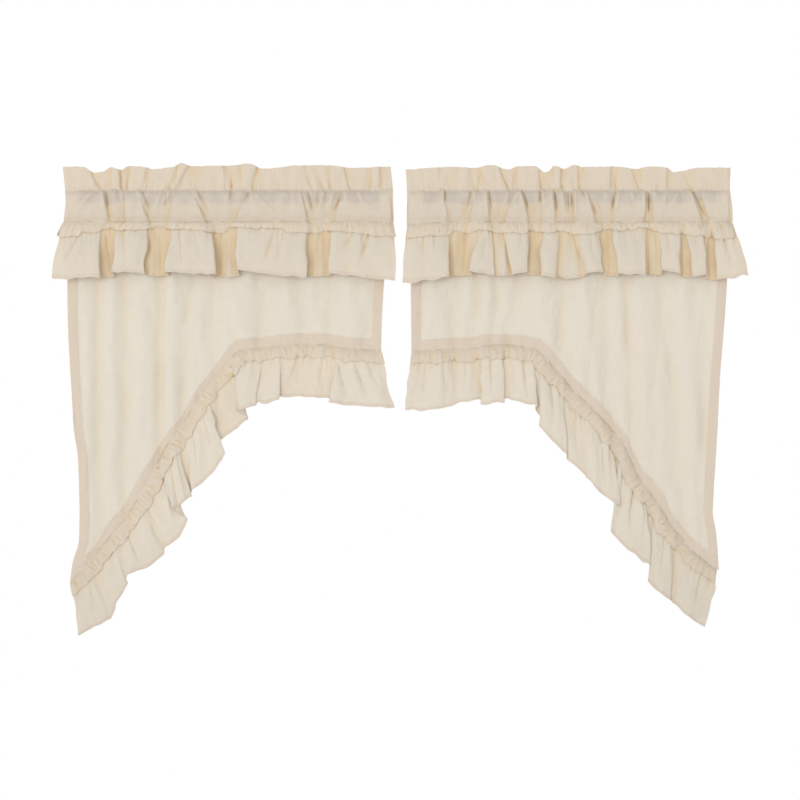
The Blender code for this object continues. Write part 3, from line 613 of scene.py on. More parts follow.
def rounded(columns, times):
    """The columns with each corner cut off, times over. The first and the last stay."""
    for _ in range(times):
        near = mix(columns[:-1], columns[1:], 0.25)
        far = mix(columns[:-1], columns[1:], 0.75)
        cut = np.stack([near, far], axis=1).reshape(-1, columns.shape[1])
        columns = np.concatenate([columns[:1], cut, columns[-1:]])
    return columns


def even_columns(columns, pitch):
    """The same columns spaced evenly along the hem."""
    along = lengths(columns[:, 1:])
    steps = np.linspace(0.0, along[-1], round(along[-1] / pitch) + 1)
    return np.stack([np.interp(steps, along, column) for column in columns.T], axis=1), steps


def under(seam, x, gap):
    """The drop a small gap below a seam, measured square to it."""
    slope = (seam(x + 1.0) - seam(x - 1.0)) / 2.0
    return seam(x) + gap * np.sqrt(1 + slope**2)


def end_of(along):
    """-1 at the first end of a ruffle and 1 at its last, and 0 a little way in from them."""
    return np.exp((along - along[-1])[:, None] / 14.0) - np.exp(-along[:, None] / 14.0)


def in_tail(drop):
    """0 above the tail and 1 down in it, where the cloth is painted darker: painted shade, as the cloth there
    lies closer and lets less light through.
    """
    return smooth((drop - TAIL_FROM) / TAIL_OVER)


def hem_rows(depth, hem, rows):
    """Shares of the way down a ruffle, with two close rows where its hem is turned up."""
    turned = 1 - hem / depth
    step = 0.35 / depth
    above = np.linspace(0.0, turned - step, rows)
    return np.concatenate([above, [turned, turned + step], np.linspace(turned + step, 1.0, 5)[1:]])


def ruffle(name, sections, creases, seam, seam_forward, hollow_shade, seed):
    """A wide ruffle: folded sections between its gathered seam and its turned-up hem."""
    columns, along = even_columns(rounded(corner_columns(sections), 4), RUFFLE_PITCH)
    seam_x, hem_x, hem_drop, hem_forward = columns.T[:, :, None]
    depth = float(np.mean(hem_drop - seam(seam_x)))
    down = hem_rows(depth, RUFFLE_HEM, RUFFLE_ROWS)[None, :]
    across, deep = along[:, None], down * depth
    top = under(seam, seam_x, SEAM_GAP)
    start = seam_forward(seam_x, seam(seam_x))
    bend = 1.4 * crumple(across, deep, 46, 1.6, seed + 5) * np.sin(pi * np.clip(down, 0.0, 1.0))
    belly = BELLY * np.sin(pi * down**1.4) * end_of(along)
    x = mix(seam_x, hem_x, down) + bend + belly
    forward = mix(start, hem_forward, 1 - (1 - down) ** 2)
    drop = mix(top, hem_drop, down) + 0.9 * crumple(across, 0.0 * down, 34, 1, seed + 1) * down**3
    middle = points(x, forward, drop)

    gathered = 1.2 * drawn(along, down, 7.0, 3.0, 3.2, seed)
    waves = 1.3 * crumple(across, deep, 52, 2.4, seed + 2) * smooth(down / 0.3)
    small = 0.2 * crumple(across, deep, 17, 1.3, seed + 3) * smooth(down / 0.1)
    folds = 1.5 * creases_at(creases, middle[..., 0], -middle[..., 2])
    turned = 1 - RUFFLE_HEM / depth
    on_hem = smooth((down - turned) * depth / 0.7)
    hem_ripple = 0.3 * crumple(across, 0.0 * down, 13, 1.0, seed + 4) * on_hem
    lift = gathered + waves + small + folds + hem_ripple
    middle = middle + normals_of(middle) * lift[..., None]
    thick = MUSLIN + (HEMMED - MUSLIN) * on_hem
    # Painted shade: warm where a section lies back and in wide hollows, darker in thin creases
    lies_back = np.clip((15 - forward) / 9, 0.0, 1.0) * smooth(down / 0.2)
    stands = -middle[..., 1]
    recess_shade = shaded(hollow_shade * (0.7 * lies_back + hollows(stands, 9) / 6), hollows(stands, 2) / 2.8 - 0.1)
    flat = np.stack(np.broadcast_arrays(across, deep), axis=-1)
    # Painted shade that darkens the tail
    tail = in_tail(drop)
    marks = {"layers": 1 + on_hem, "recess_shade": recess_shade + TAIL_HOLLOW_SHADE * tail, "painted_shade": TAIL_SHADE * tail}
    piece, front, normal = sheet(name, middle, thick, flat, marks)
    stitch_row = int(np.argmin(abs(down[0] - turned))) + 2
    return piece, middle, front, normal, stitch_row


def front_of(middle):
    """How far forward a sheet comes near a place, as two functions of x and drop: smoothed, and closely."""
    fine = 3
    across = np.linspace(0, middle.shape[0] - 1, middle.shape[0] * fine)
    down = np.linspace(0, middle.shape[1] - 1, middle.shape[1] * fine)
    i = np.minimum(across.astype(int), middle.shape[0] - 2)
    j = np.minimum(down.astype(int), middle.shape[1] - 2)
    u, v = (across - i)[:, None, None], (down - j)[None, :, None]
    upper = mix(middle[i][:, j], middle[i + 1][:, j], u)
    lower = mix(middle[i][:, j + 1], middle[i + 1][:, j + 1], u)
    dense = mix(upper, lower, v).reshape(-1, 3)
    low = dense.min(axis=0) - 3 * REACH
    cells = ((dense - low)[:, [0, 2]] / RASTER).astype(int)
    size = cells.max(axis=0) + int(4 * REACH / RASTER) + 2
    nearest = np.full(size, -4.0)
    np.maximum.at(nearest, tuple(cells.T), -dense[:, 1])
    reach = round(REACH / RASTER)
    square = range(-reach, reach + 1)
    steps = [(a, b) for a in square for b in square if a * a + b * b <= reach**2]
    beside = [(a, b) for a, b in steps if a * a + b * b <= 2]
    close = np.max([np.roll(nearest, step, (0, 1)) for step in beside], axis=0)
    calm = np.mean([np.roll(close, step, (0, 1)) for step in steps], axis=0)

    def reader(grid):
        def at(x, drop):
            px = np.clip((x - low[0]) / RASTER - 0.5, 0, size[0] - 2)
            pz = np.clip((-drop - low[2]) / RASTER - 0.5, 0, size[1] - 2)
            i, j = px.astype(int), pz.astype(int)
            u, v = px - i, pz - j
            left = mix(grid[i, j], grid[i, j + 1], v)
            return mix(left, mix(grid[i + 1, j], grid[i + 1, j + 1], v), u)

        return at

    return reader(calm), reader(close)


def frill(name, top, foot, level, front, depth, seed):
    """A narrow gathered frill between its seam and its rolled edge, over what hangs behind it."""
    line = points(top[0], 0.0, top[1])
    along = lengths(line)
    down = hem_rows(depth, FRILL_HEM, FRILL_ROWS)[None, :]
    across, deep = along[:, None], down * depth
    sway = crumple(across, 0.0, 24, 1, seed + 2)
    leaning = across + 2.6 * sway * down
    bubbles = gathers(leaning, 0.0, along[-1], 11.0, seed + 1)
    waves = gathers(leaning, 0.0, along[-1], 31.0, seed + 5)
    x = mix(top[0][:, None], foot[0][:, None], down) + 1.5 * sway * down
    scallops = 2.4 * bubbles + 3.0 * waves - 3.5 + 0.5 * crumple(across, 0.0, 11, 1, seed + 4)
    drop = mix(top[1][:, None], foot[1][:, None], down) + scallops * down
    pleats = 0.85 * np.maximum(drawn(along, down, 5.5, 1.5, 0.7, seed), -1.3)
    small = 0.2 * crumple(across, deep, 9, 1.3, seed + 3) * smooth(down / 0.1)
    calm, close = front
    base = np.maximum(calm(x, drop) + OVER + MUSLIN, level[:, None] + 0.6 * down)
    curl = (1.7 * bubbles + 0.9 * waves) * smooth(down / 0.25) * (1 - 0.6 * smooth((down - 0.5) / 0.5))
    forward = mix(level[:, None], base, smooth(down / 0.3)) + curl + pleats + small
    laid = close(x, drop) + MUSLIN
    forward = np.maximum(forward, laid - 2.0 * (1 - smooth(down / 0.2)))
    forward = mix(forward, laid, 0.85 * smooth((down - 0.62) / 0.38))
    middle = points(x, forward, drop)
    on_hem = smooth((down - 1 + FRILL_HEM / depth) * depth / 0.7)
    thick = MUSLIN + 0.3 * on_hem
    flat = np.stack(np.broadcast_arrays(across, deep), axis=-1)
    # Painted shade: a little warm all over, warmer in wide hollows, darker in thin creases
    recess_shade = shaded(0.15 + hollows(forward, 6) / 2.0, hollows(forward, 2) / 0.75 - 0.12)
    # Painted shade that darkens the tail
    tail = in_tail(drop)
    marks = {"layers": 1.5 + 0.5 * on_hem, "recess_shade": recess_shade + TAIL_HOLLOW_SHADE * tail, "painted_shade": TAIL_SHADE * tail}
    return sheet(name, middle, thick, flat, marks)[0]


# Stitches

def model_stitch():
    """One stitch, a thread with tapered ends: its points along, across and out in mm, and its faces."""
    bpy.ops.object.select_all(action="DESELECT")
    straight, tip = STITCH_LONG * 0.6, STITCH_LONG * 0.2
    bpy.ops.mesh.primitive_cylinder_add(
        vertices=4, radius=THREAD / 2, depth=straight, end_fill_type="NGON")
    thread = bpy.context.object
    for end in (-1, 1):
        bpy.ops.object.mode_set(mode="EDIT")
        bpy.ops.mesh.select_all(action="DESELECT")
        bpy.ops.object.mode_set(mode="OBJECT")
        for face in thread.data.polygons:
            face.select = face.normal.z * end > 0.9
        bpy.ops.object.mode_set(mode="EDIT")
        bpy.ops.mesh.select_mode(type="FACE")
        bpy.ops.mesh.extrude_region_move(TRANSFORM_OT_translate={"value": (0.0, 0.0, end * tip)})
        bpy.ops.transform.resize(value=(0.45, 0.45, 1.0))
        bpy.ops.object.mode_set(mode="OBJECT")
    shape = np.array([point.co for point in thread.data.vertices])[:, [2, 0, 1]]
    faces = [list(face.vertices) for face in thread.data.polygons]
    bpy.data.objects.remove(thread)
    return shape, faces


def stitches(name, one_stitch, lines):
    """A copy of the modelled stitch at each pitch along lines of places and facings, as one piece."""
    shape, faces = one_stitch
    places, joined = [], []
    for line, facing in lines:
        along = lengths(line)
        middle = np.arange(STITCH_PITCH, along[-1] - STITCH_PITCH, STITCH_PITCH)

        def at(place, values):
            return np.stack([np.interp(place, along, column) for column in values.T], axis=1)

        run = at(middle + STITCH_LONG / 2, line) - at(middle - STITCH_LONG / 2, line)
        run /= np.linalg.norm(run, axis=1, keepdims=True)
        out = at(middle, facing)
        out -= run * (out * run).sum(axis=1, keepdims=True)
        out /= np.linalg.norm(out, axis=1, keepdims=True)
        turn = np.stack([run, np.cross(out, run), out], axis=1)
        copies = (at(middle, line) - STITCH_SUNK * out)[:, None, :] + shape @ turn
        for points_of_one in copies:
            first = sum(map(len, places))
            places.append(points_of_one)
            joined += [[first + corner for corner in face] for face in faces]
    flat = np.tile(shape[:, :2], (len(places), 1))
    return cloth_mesh(name, np.concatenate(places), joined, flat, {})


def heading_stitches(side, one_stitch, outer, row):
    """The stitch line between the header and the rod pocket."""
    facing = normals_of(outer[: 2 * row])
    return stitches(side.name + "_heading_stitches", one_stitch, [(outer[row], facing[row])])


def panel_stitches(side, one_stitch, front, normal, edges):
    """The stitches down both side hems and along the top of the facing."""
    first, last, row = edges
    lines = [(front[column, 2:row], normal[column, 2:row]) for column in (first, last)]
    lines.append((front[first:last, row], normal[first:last, row]))
    return stitches(side.name + "_panel_stitches", one_stitch, lines)


def hem_stitches(name, one_stitch, wide):
    """The stitches along a ruffle's turned-up hem."""
    _, _, front, normal, row = wide
    return stitches(name, one_stitch, [(front[:, row], normal[:, row])])


# The pieces

def heading_pocket(side):
    """The gathered header and, under its stitch line, the hollow rod pocket, open at both ends."""
    left, right = curve(side.left_edge), curve(side.right_edge)
    seed = SEEDS[side.name]
    share = np.linspace(0.0, 1.0, HEADING_COLUMNS)
    at_stitch = mix(left(STITCH), right(STITCH), share)
    crest = curve(side.top_line)(at_stitch)
    crest = crest + 0.3 * crumple(at_stitch, 0.0, 20, 1, seed)
    floor = curve(side.pocket_seam)(at_stitch) - SEAM_GAP / 2
    tight = gathers(at_stitch, at_stitch[0], at_stitch[-1], 9.0, seed + 1)
    stitched = STITCH + 0.8 * crumple(at_stitch, 0.0, 26, 1, seed + 7)
    seam = seam_under_pocket(side)

    def puckers(x, drop):
        small = 0.6 * crumple(x, drop, 34, 2.0, seed + 3) + 0.16 * crumple(x, drop, 13, 1.5, seed + 5)
        away = abs(drop - stitched)
        return 1.9 * (tight - 0.5) * np.exp(-away / 7.0) + small * smooth(away / 8.0)

    def header_line(down, layer, inside):
        drop = mix(crest, stitched, down)
        x = mix(left(drop), right(drop), share)
        folds = plates_at(side.heading, x, down, HEADER_FOLD_EDGE) * (1 - HEADER_GATHERED * down)
        folds = folds + creases_at(side.header_creases, x, drop, 0.3) * (0.35 + 0.65 * down**2)
        return points(x, folds + puckers(x, drop) + layer * (HEADER / 2 - inside * MUSLIN), drop)

    def pocket_line(down, forward):
        drop = mix(stitched, floor, down)
        return points(mix(left(drop), right(drop), share), forward, drop)

    def wall_line(down, layer, inside):
        line = pocket_line(down, 0.0)
        x, drop = line[:, 0], -line[:, 2]
        rises = np.sin(pi / 2 * min(down / 0.22, 1.0)) * np.cos(pi / 2 * max((down - 0.4) / 0.6, 0.0))
        swell = mix(HEADER / 2, POCKET_EDGE, down) + POCKET_BULGE * rises
        folds = creases_at(side.pocket_creases, x, drop)
        if layer == 1:
            full = PLATE_STANDS * np.sin(np.pi / 2 * min(down / POCKET_FULL, 1.0))
            plates = plates_at(side.pocket, x, down, POCKET_FOLD_EDGE) * full
            stands = mix(plates, seam(x), smooth((down - 0.82) / 0.18)) + folds * smooth((1.04 - down) / 0.2)
        else:
            stands = seam(x) * down**3 + folds * np.exp((stitched - drop) / 5.0)
        loose = puckers(x, drop) * smooth((1 - down) / 0.1)
        line[:, 1] -= layer * (swell - inside * MUSLIN) + stands + loose
        return line

    header = np.linspace(0.0, 1.0, HEADER_LINES)
    wall = np.linspace(0.02, 0.985, POCKET_LINES)
    foot = seam(pocket_line(1.0, 0.0)[:, 0])
    outer = [header_line(-0.012, 0, 0)]
    outer += [header_line(down, 1, 0) for down in header]
    outer += [wall_line(down, 1, 0) for down in wall]
    outer += [pocket_line(1.0, foot + POCKET_EDGE), pocket_line(1.0, foot - POCKET_EDGE)]
    outer += [wall_line(down, -1, 0) for down in wall[::-2]]
    outer += [header_line(down, -1, 0) for down in header[::-2]]
    header_inside, wall_inside = header[1::2], wall[:-1:2]
    inner = [header_line(0.02, 0, 0)]
    inner += [header_line(down, 1, 1) for down in header_inside]
    inner += [wall_line(down, 1, 1) for down in wall_inside]
    inner += [pocket_line(0.975, foot)]
    inner += [wall_line(down, -1, 1) for down in wall_inside[::-1]]
    inner += [header_line(down, -1, 1) for down in header_inside[::-1]]
    outer, inner = np.array(outer), np.array(inner)
    marks = heading_marks(outer, inner, 1 + len(header) + len(wall))
    piece = tube(side.name + "_heading_and_pocket", outer, inner, marks)
    return piece, outer, len(header)


def seam_under_pocket(side):
    """How far forward the seam under the pocket stands: out at the flat folds, and puckered."""
    seed = SEEDS[side.name] + 20
    start, stop = side.pocket[0].low_a, side.pocket[-1].low_b

    def at(x):
        plates = plates_at(side.pocket, x, 1.0, SEAM_EDGE)
        return plates - SEAM_BACK + 1.1 * (gathers(x, start, stop, 8.0, seed) - 0.5)

    return at


def heading_marks(outer, inner, front_lines):
    """What the heading's finish follows: layers, painted shade in its hollows and creases, and a painted grey
    shade band inside the pocket.
    """
    hollow = hollows(-outer[..., 1], 12, axis=1)
    hollow[front_lines:] = 0.0
    x, drop = outer[..., 0], -outer[..., 2]
    # Painted shade: a grey band over the pocket's upper part, fainter on the plates that stand out, and a
    # fainter grey below it, where less light comes through the cloth from behind
    edge = 1.6 * crumple(x, 0.0 * x, 60, 1, 31)
    band = smooth((drop - STITCH) / 5.0) * smooth((STITCH + 35 + edge - drop) / 13.0)
    ends = smooth((x - x.min() - 20) / 18) * smooth((x.max() - 16 - x) / 18)
    through = 0.35 + 0.65 * np.clip(0.6 + hollow / 3.5, 0.0, 1.0)
    behind = 0.22 * smooth((drop - STITCH - 2) / 8.0) * smooth((POCKET_SEAM + 2 - drop) / 6.0)
    painted_shade = np.maximum(band * ends * through, behind)
    # Painted shade in the header's and pocket's hollows and thin creases
    thin = hollows(-outer[..., 1], 2, axis=1)
    thin[front_lines:] = 0.0
    outside = [np.where(drop < STITCH, 2.0, 1.8), shaded(hollow / 5.0, thin / 1.9 - 0.05), painted_shade]
    inside = [np.full(inner.shape[:2], 1.6), np.zeros(inner.shape[:2]), np.zeros(inner.shape[:2])]
    joined = [np.concatenate([a.ravel(), b.ravel()]) for a, b in zip(outside, inside)]
    return dict(zip(("layers", "recess_shade", "painted_shade"), joined))


def tube(name, outer, inner, marks):
    """A closed solid between an outer and an inner ring of lines that run from one end to the other."""
    columns = outer.shape[1]
    places = np.concatenate([outer.reshape(-1, 3), inner.reshape(-1, 3)])
    number = np.arange(len(places))
    skin = number[: outer.shape[0] * columns].reshape(-1, columns)
    lining = number[outer.shape[0] * columns :].reshape(-1, columns)
    ring = [np.concatenate([index, index[:1]]) for index in (skin, lining)]
    faces = quads(ring[0]).tolist() + quads(ring[1])[:, ::-1].tolist()
    for end in (0, -1):
        loops = [places[skin[:, end]][:, [1, 2]], places[lining[:, end]][:, [1, 2]]]
        index = np.concatenate([skin[:, end], lining[:, end]])
        cap = index[np.array(tessellate_polygon([[(*p, 0.0) for p in loop] for loop in loops]))]
        a, b, c = (places[cap[:, i]] for i in range(3))
        turned = np.cross(b - a, c - a)[:, 0] * (1 if end else -1) < 0
        cap[turned] = cap[turned][:, ::-1]
        faces += cap.tolist()
    flat = np.concatenate([flat_places(outer), flat_places(inner)])
    return cloth_mesh(name, places, faces, flat, marks)


def flat_places(lines):
    """A flat place for each point of a ring of lines, along the first line and across the others."""
    along = lengths(lines[0])
    across = lengths(lines[:, lines.shape[1] // 2])
    grid = np.stack(np.broadcast_arrays(along[None, :], across[:, None]), axis=-1)
    return grid.reshape(-1, 2)


def panel_forward(side):
    """How far forward the swag panel stands, as a function of x and drop."""
    seed = SEEDS[side.name] + 200
    pocket_seam = seam_under_pocket(side)

    def at(x, drop):
        out = np.zeros(np.broadcast(x, drop).shape)
        for fold in side.panel_folds:
            along = (drop - POCKET_SEAM) / (fold.ends - POCKET_SEAM)
            middle = mix(fold.top, fold.low, np.clip(along, 0.0, 1.0))
            dies = 1 - FADE_AT_SEAM * smooth((along - FADE_FROM) / FADE_OVER)
            out += PANEL_FOLDS * fold.forward * np.exp(-(((x - middle) / fold.half) ** 2)) * dies
        out += creases_at(side.panel_creases, x, drop)
        out += 0.9 * crumple(x, drop, 46, 3.4, seed) + 0.35 * crumple(x, drop, 17, 2.0, seed + 1)
        fade = np.exp((POCKET_SEAM - drop) / OPENS_OVER)
        return out * (1 - fade) + pocket_seam(x) * fade - LAYER_STEP

    return at


def panel_foot(side, columns):
    """The panel's columns, as shares of its width, and where they meet its curved lower edge."""
    left, right, seam = curve(side.panel_left), curve(side.panel_right), curve(side.swag_seam)
    width = right(MIDDLE) - left(MIDDLE)
    hem, step = SIDE_HEM / width, 0.4 / width
    inner = np.linspace(hem + step, 1 - hem - step, columns)
    side_hem = np.linspace(0.0, hem - step, HEM_COLUMNS)
    share = np.concatenate([side_hem, inner, 1 - side_hem[::-1]])
    foot_x = mix(left(MIDDLE), right(MIDDLE), share)
    for _ in range(12):
        foot = seam(foot_x)
        foot_x = mix(left(foot), right(foot), share)
    return share, foot_x, seam(foot_x)


def swag_panel(side):
    """The main cloth, hemmed at its sides and faced along its curved lower edge."""
    left, right = curve(side.panel_left), curve(side.panel_right)
    forward, pocket_seam, seam = panel_forward(side), curve(side.pocket_seam), curve(side.swag_seam)
    share, foot_x, foot = panel_foot(side, PANEL_COLUMNS)
    slope = averaged(np.gradient(foot, foot_x), 4, 0)
    band = foot - curve(side.facing)(foot_x) * np.sqrt(1 + slope**2)
    top = pocket_seam(mix(left(POCKET_SEAM), right(POCKET_SEAM), share)) + SEAM_GAP
    down = np.linspace(0.0, 1.0, PANEL_ROWS)
    above = mix(top[:, None], band[:, None], down[None, :])
    in_band = np.concatenate([[0.035], np.linspace(0.12, 1.0, 7)])
    faced = mix(band[:, None], foot[:, None], in_band[None, :])
    drop = np.concatenate([above, faced], axis=1)
    x = mix(left(drop), right(drop), share[:, None])
    column = np.arange(len(share))
    side_hem = (column < HEM_COLUMNS) | (column >= len(share) - HEM_COLUMNS)
    on_side = side_hem[:, None] * np.ones(drop.shape)
    on_face = np.concatenate([np.zeros(above.shape), np.ones(faced.shape)], axis=1)
    double = np.maximum(on_side, on_face)
    thick = MUSLIN + (HEMMED - MUSLIN) * double
    away = (band[:, None] - drop) / 24.0
    near = np.exp(-np.clip(away, 0.0, 9.0)) * (1 - 0.5 * on_face)
    pull = 0.7 * (gathers(foot_x, foot_x[0], foot_x[-1], 11.0, 17)[:, None] - 0.5) * near
    ripple = 0.3 * crumple(x, drop, 12, 1.0, 51) * double
    middle = points(x, forward(x, drop) + pull + ripple, drop)
    flat = np.stack([x, drop], axis=-1)
    # Painted shade in the panel's hollows
    marks = {"layers": 1 + double, "recess_shade": shaded(hollows(-middle[..., 1], 5) / 12, 0.0)}
    piece, front, normal = sheet(side.name + "_swag_cloth", middle, thick, flat, marks)
    return piece, front, normal, (HEM_COLUMNS - 1, len(share) - HEM_COLUMNS, above.shape[1])


def valance(side):
    """The wide valance ruffle, and the narrow frill over its top."""
    seam, stands = curve(side.pocket_seam), seam_under_pocket(side)
    seed = SEEDS[side.name] + 400

    def against_pocket(x, drop):
        return stands(x)

    name = side.name + "_valance"
    wide = ruffle(name + "_cloth", side.valance, side.valance_creases, seam, against_pocket, 1.0, seed)
    edge = side.valance_frill
    top_x = np.linspace(side.valance[0].seam_a, side.valance[-1].seam_b, VALANCE_FRILL_COLUMNS)
    foot_x = np.interp(top_x, [top_x[0], top_x[-1]], [edge[0][0], edge[-1][0]])
    top = (top_x, seam(top_x) + SEAM_GAP)
    foot = (foot_x, curve(edge)(foot_x))
    level = stands(top_x) + LAYER_STEP
    front = front_of(wide[1])
    narrow = frill(name + "_edging", top, foot, level, front, VALANCE_FRILL_DEPTH, seed + 10)
    return wide, narrow


def swag_ruffles(side):
    """The wide ruffle along the curved edge, and the narrow frill over its top."""
    seam, forward = curve(side.swag_seam), panel_forward(side)
    seed = SEEDS[side.name] + 600

    def behind_panel(x, drop):
        return forward(x, drop) - LAYER_STEP / 2

    name = side.name + "_swag_ruffle_cloth"
    wide = ruffle(name, side.swag, side.swag_creases, seam, behind_panel, SWAG_HOLLOW_SHADE, seed)
    start, stop = side.swag[0].seam_a, side.swag[-1].seam_b
    rough = np.linspace(start, stop, 900)
    along = lengths(points(rough, 0.0, seam(rough)))
    top_x = np.interp(np.linspace(0.0, along[-1], SWAG_FRILL_COLUMNS), along, rough)
    slope = (seam(top_x + 6.0) - seam(top_x - 6.0)) / 12.0
    long = np.sqrt(1 + slope**2)
    top = (top_x, under(seam, top_x, SEAM_GAP))
    depth = FRILL_DEPTH * uneven(FRILL_UNEVEN, top_x)
    fall = np.stack([-slope / long, 1 / long])
    for part, from_end in ((side.swag[0], 0), (side.swag[-1], -1)):
        ends = [(part.seam_a, part.hem_a, part.drop_a), (part.seam_b, part.hem_b, part.drop_b)]
        at_seam, at_hem, low = ends[from_end]
        lean = np.array([at_hem - at_seam, low - seam(at_seam)])
        near = np.exp(-abs(top_x - top_x[from_end]) / 20.0)
        fall = mix(fall, (lean / np.hypot(*lean))[:, None], near)
    foot = (top_x + fall[0] * depth, top[1] + fall[1] * depth)
    level = forward(*top) + LAYER_STEP / 2
    narrow = frill(side.name + "_swag_edging", top, foot, level, front_of(wide[1]), FRILL_DEPTH, seed + 10)
    return wide, narrow


# Materials

def muslin(name, single, double, glow):
    """Plain-weave cotton: warm cream with slubs and fine threads, painted lighter where it is one layer for
    the light that comes through it, with painted shade in recesses, creases, the pocket's band and the tail.
    """
    material = bpy.data.materials.new(name)
    material.use_nodes = True
    nodes, links = material.node_tree.nodes, material.node_tree.links
    shader = nodes["Principled BSDF"]
    shader.inputs["Roughness"].default_value = 0.92
    shader.inputs["Specular IOR Level"].default_value = 0.2
    shader.inputs["Sheen Weight"].default_value = 0.12
    shader.inputs["Sheen Roughness"].default_value = 0.5
    threads = nodes.new("ShaderNodeUVMap")
    threads.uv_map = "cloth"

    # Painted shade: the two-layer tone is darker, for the light from behind that two layers let less of
    # through
    layers = nodes.new("ShaderNodeAttribute")
    layers.attribute_name = "layers"
    doubled = nodes.new("ShaderNodeMapRange")
    doubled.inputs["From Min"].default_value = 1.0
    doubled.inputs["From Max"].default_value = 2.0
    links.new(layers.outputs["Fac"], doubled.inputs["Value"])
    tone = nodes.new("ShaderNodeMix")
    tone.data_type = "RGBA"
    tone.inputs[6].default_value = (*single, 1.0)
    tone.inputs[7].default_value = (*double, 1.0)
    links.new(doubled.outputs["Result"], tone.inputs[0])

    # Painted shade: warm in hollows and dark brown in thin creases, by the recess mark
    recess_shade = nodes.new("ShaderNodeAttribute")
    recess_shade.attribute_name = "recess_shade"
    deep = nodes.new("ShaderNodeValToRGB")
    deep.color_ramp.elements[0].color = (1.0, 1.0, 1.0, 1.0)
    deep.color_ramp.elements[1].color = (*CREASE_SHADE_TONE, 1.0)
    deep.color_ramp.elements.new(0.5).color = (*HOLLOW_SHADE_TONE, 1.0)
    links.new(recess_shade.outputs["Fac"], deep.inputs["Fac"])
    hollow_shading = nodes.new("ShaderNodeMix")
    hollow_shading.data_type = "RGBA"
    hollow_shading.blend_type = "MULTIPLY"
    hollow_shading.inputs[0].default_value = 1.0
    links.new(tone.outputs[2], hollow_shading.inputs[6])
    links.new(deep.outputs["Color"], hollow_shading.inputs[7])

    # Painted shade: the grey mark darkens the pocket's band and the tail
    painted_shade = nodes.new("ShaderNodeAttribute")
    painted_shade.attribute_name = "painted_shade"
    band_shading = nodes.new("ShaderNodeMix")
    band_shading.data_type = "RGBA"
    band_shading.blend_type = "MULTIPLY"
    band_shading.inputs[7].default_value = (*BAND_SHADE_TONE, 1.0)
    links.new(painted_shade.outputs["Fac"], band_shading.inputs[0])
    links.new(hollow_shading.outputs[2], band_shading.inputs[6])

    slubs = []
    for scale in ((900.0, 22.0, 1.0), (22.0, 900.0, 1.0)):
        place = nodes.new("ShaderNodeMapping")
        place.inputs["Scale"].default_value = scale
        noise = nodes.new("ShaderNodeTexNoise")
        noise.inputs["Scale"].default_value = 1.0
        noise.inputs["Detail"].default_value = 2.0
        links.new(threads.outputs["UV"], place.inputs["Vector"])
        links.new(place.outputs["Vector"], noise.inputs["Vector"])
        slubs.append(noise)
    slub = nodes.new("ShaderNodeMath")
    slub.operation = "ADD"
    links.new(slubs[0].outputs["Fac"], slub.inputs[0])
    links.new(slubs[1].outputs["Fac"], slub.inputs[1])
    tint = nodes.new("ShaderNodeMapRange")
    tint.inputs["From Min"].default_value = 0.6
    tint.inputs["From Max"].default_value = 1.4
    tint.inputs["To Min"].default_value = 0.965
    tint.inputs["To Max"].default_value = 1.03
    links.new(slub.outputs["Value"], tint.inputs["Value"])
    body = nodes.new("ShaderNodeVectorMath")
    body.operation = "SCALE"
    links.new(band_shading.outputs[2], body.inputs[0])
    links.new(tint.outputs["Result"], body.inputs["Scale"])

    weave = []
    for axis in ("X", "Y"):
        wave = nodes.new("ShaderNodeTexWave")
        wave.bands_direction = axis
        wave.inputs["Scale"].default_value = 314.0
        wave.inputs["Distortion"].default_value = 0.6
        links.new(threads.outputs["UV"], wave.inputs["Vector"])
        weave.append(wave)
    crossing = nodes.new("ShaderNodeMath")
    crossing.operation = "MULTIPLY"
    links.new(weave[0].outputs["Fac"], crossing.inputs[0])
    links.new(weave[1].outputs["Fac"], crossing.inputs[1])
    height = nodes.new("ShaderNodeMath")
    height.operation = "MULTIPLY_ADD"
    height.inputs[1].default_value = 0.5
    links.new(slub.outputs["Value"], height.inputs[0])
    links.new(crossing.outputs["Value"], height.inputs[2])
    bump = nodes.new("ShaderNodeBump")
    bump.inputs["Strength"].default_value = 0.35
    bump.inputs["Distance"].default_value = 0.00012
    links.new(height.outputs["Value"], bump.inputs["Height"])

    through = nodes.new("ShaderNodeBsdfTranslucent")
    links.new(body.outputs["Vector"], shader.inputs["Base Color"])
    links.new(body.outputs["Vector"], through.inputs["Color"])
    links.new(bump.outputs["Normal"], shader.inputs["Normal"])
    links.new(bump.outputs["Normal"], through.inputs["Normal"])
    both = nodes.new("ShaderNodeMixShader")
    both.inputs[0].default_value = glow
    links.new(shader.outputs["BSDF"], both.inputs[1])
    links.new(through.outputs["BSDF"], both.inputs[2])
    links.new(both.outputs["Shader"], nodes["Material Output"].inputs["Surface"])
    return material


def sewing_thread():
    """Cotton thread in the cloth's colour, a little darker, with its twist."""
    material = bpy.data.materials.new("sewing_thread")
    material.use_nodes = True
    nodes, links = material.node_tree.nodes, material.node_tree.links
    shader = nodes["Principled BSDF"]
    shader.inputs["Roughness"].default_value = 0.7
    shader.inputs["Specular IOR Level"].default_value = 0.3
    flat = nodes.new("ShaderNodeUVMap")
    flat.uv_map = "cloth"
    twist = nodes.new("ShaderNodeTexWave")
    twist.bands_direction = "DIAGONAL"
    twist.inputs["Scale"].default_value = 900.0
    twist.inputs["Distortion"].default_value = 0.4
    links.new(flat.outputs["UV"], twist.inputs["Vector"])
    tone = nodes.new("ShaderNodeMix")
    tone.data_type = "RGBA"
    tone.inputs[6].default_value = (*THREAD_TONES[0], 1.0)
    tone.inputs[7].default_value = (*THREAD_TONES[1], 1.0)
    links.new(twist.outputs["Fac"], tone.inputs[0])
    links.new(tone.outputs[2], shader.inputs["Base Color"])
    return material


# Camera and studio

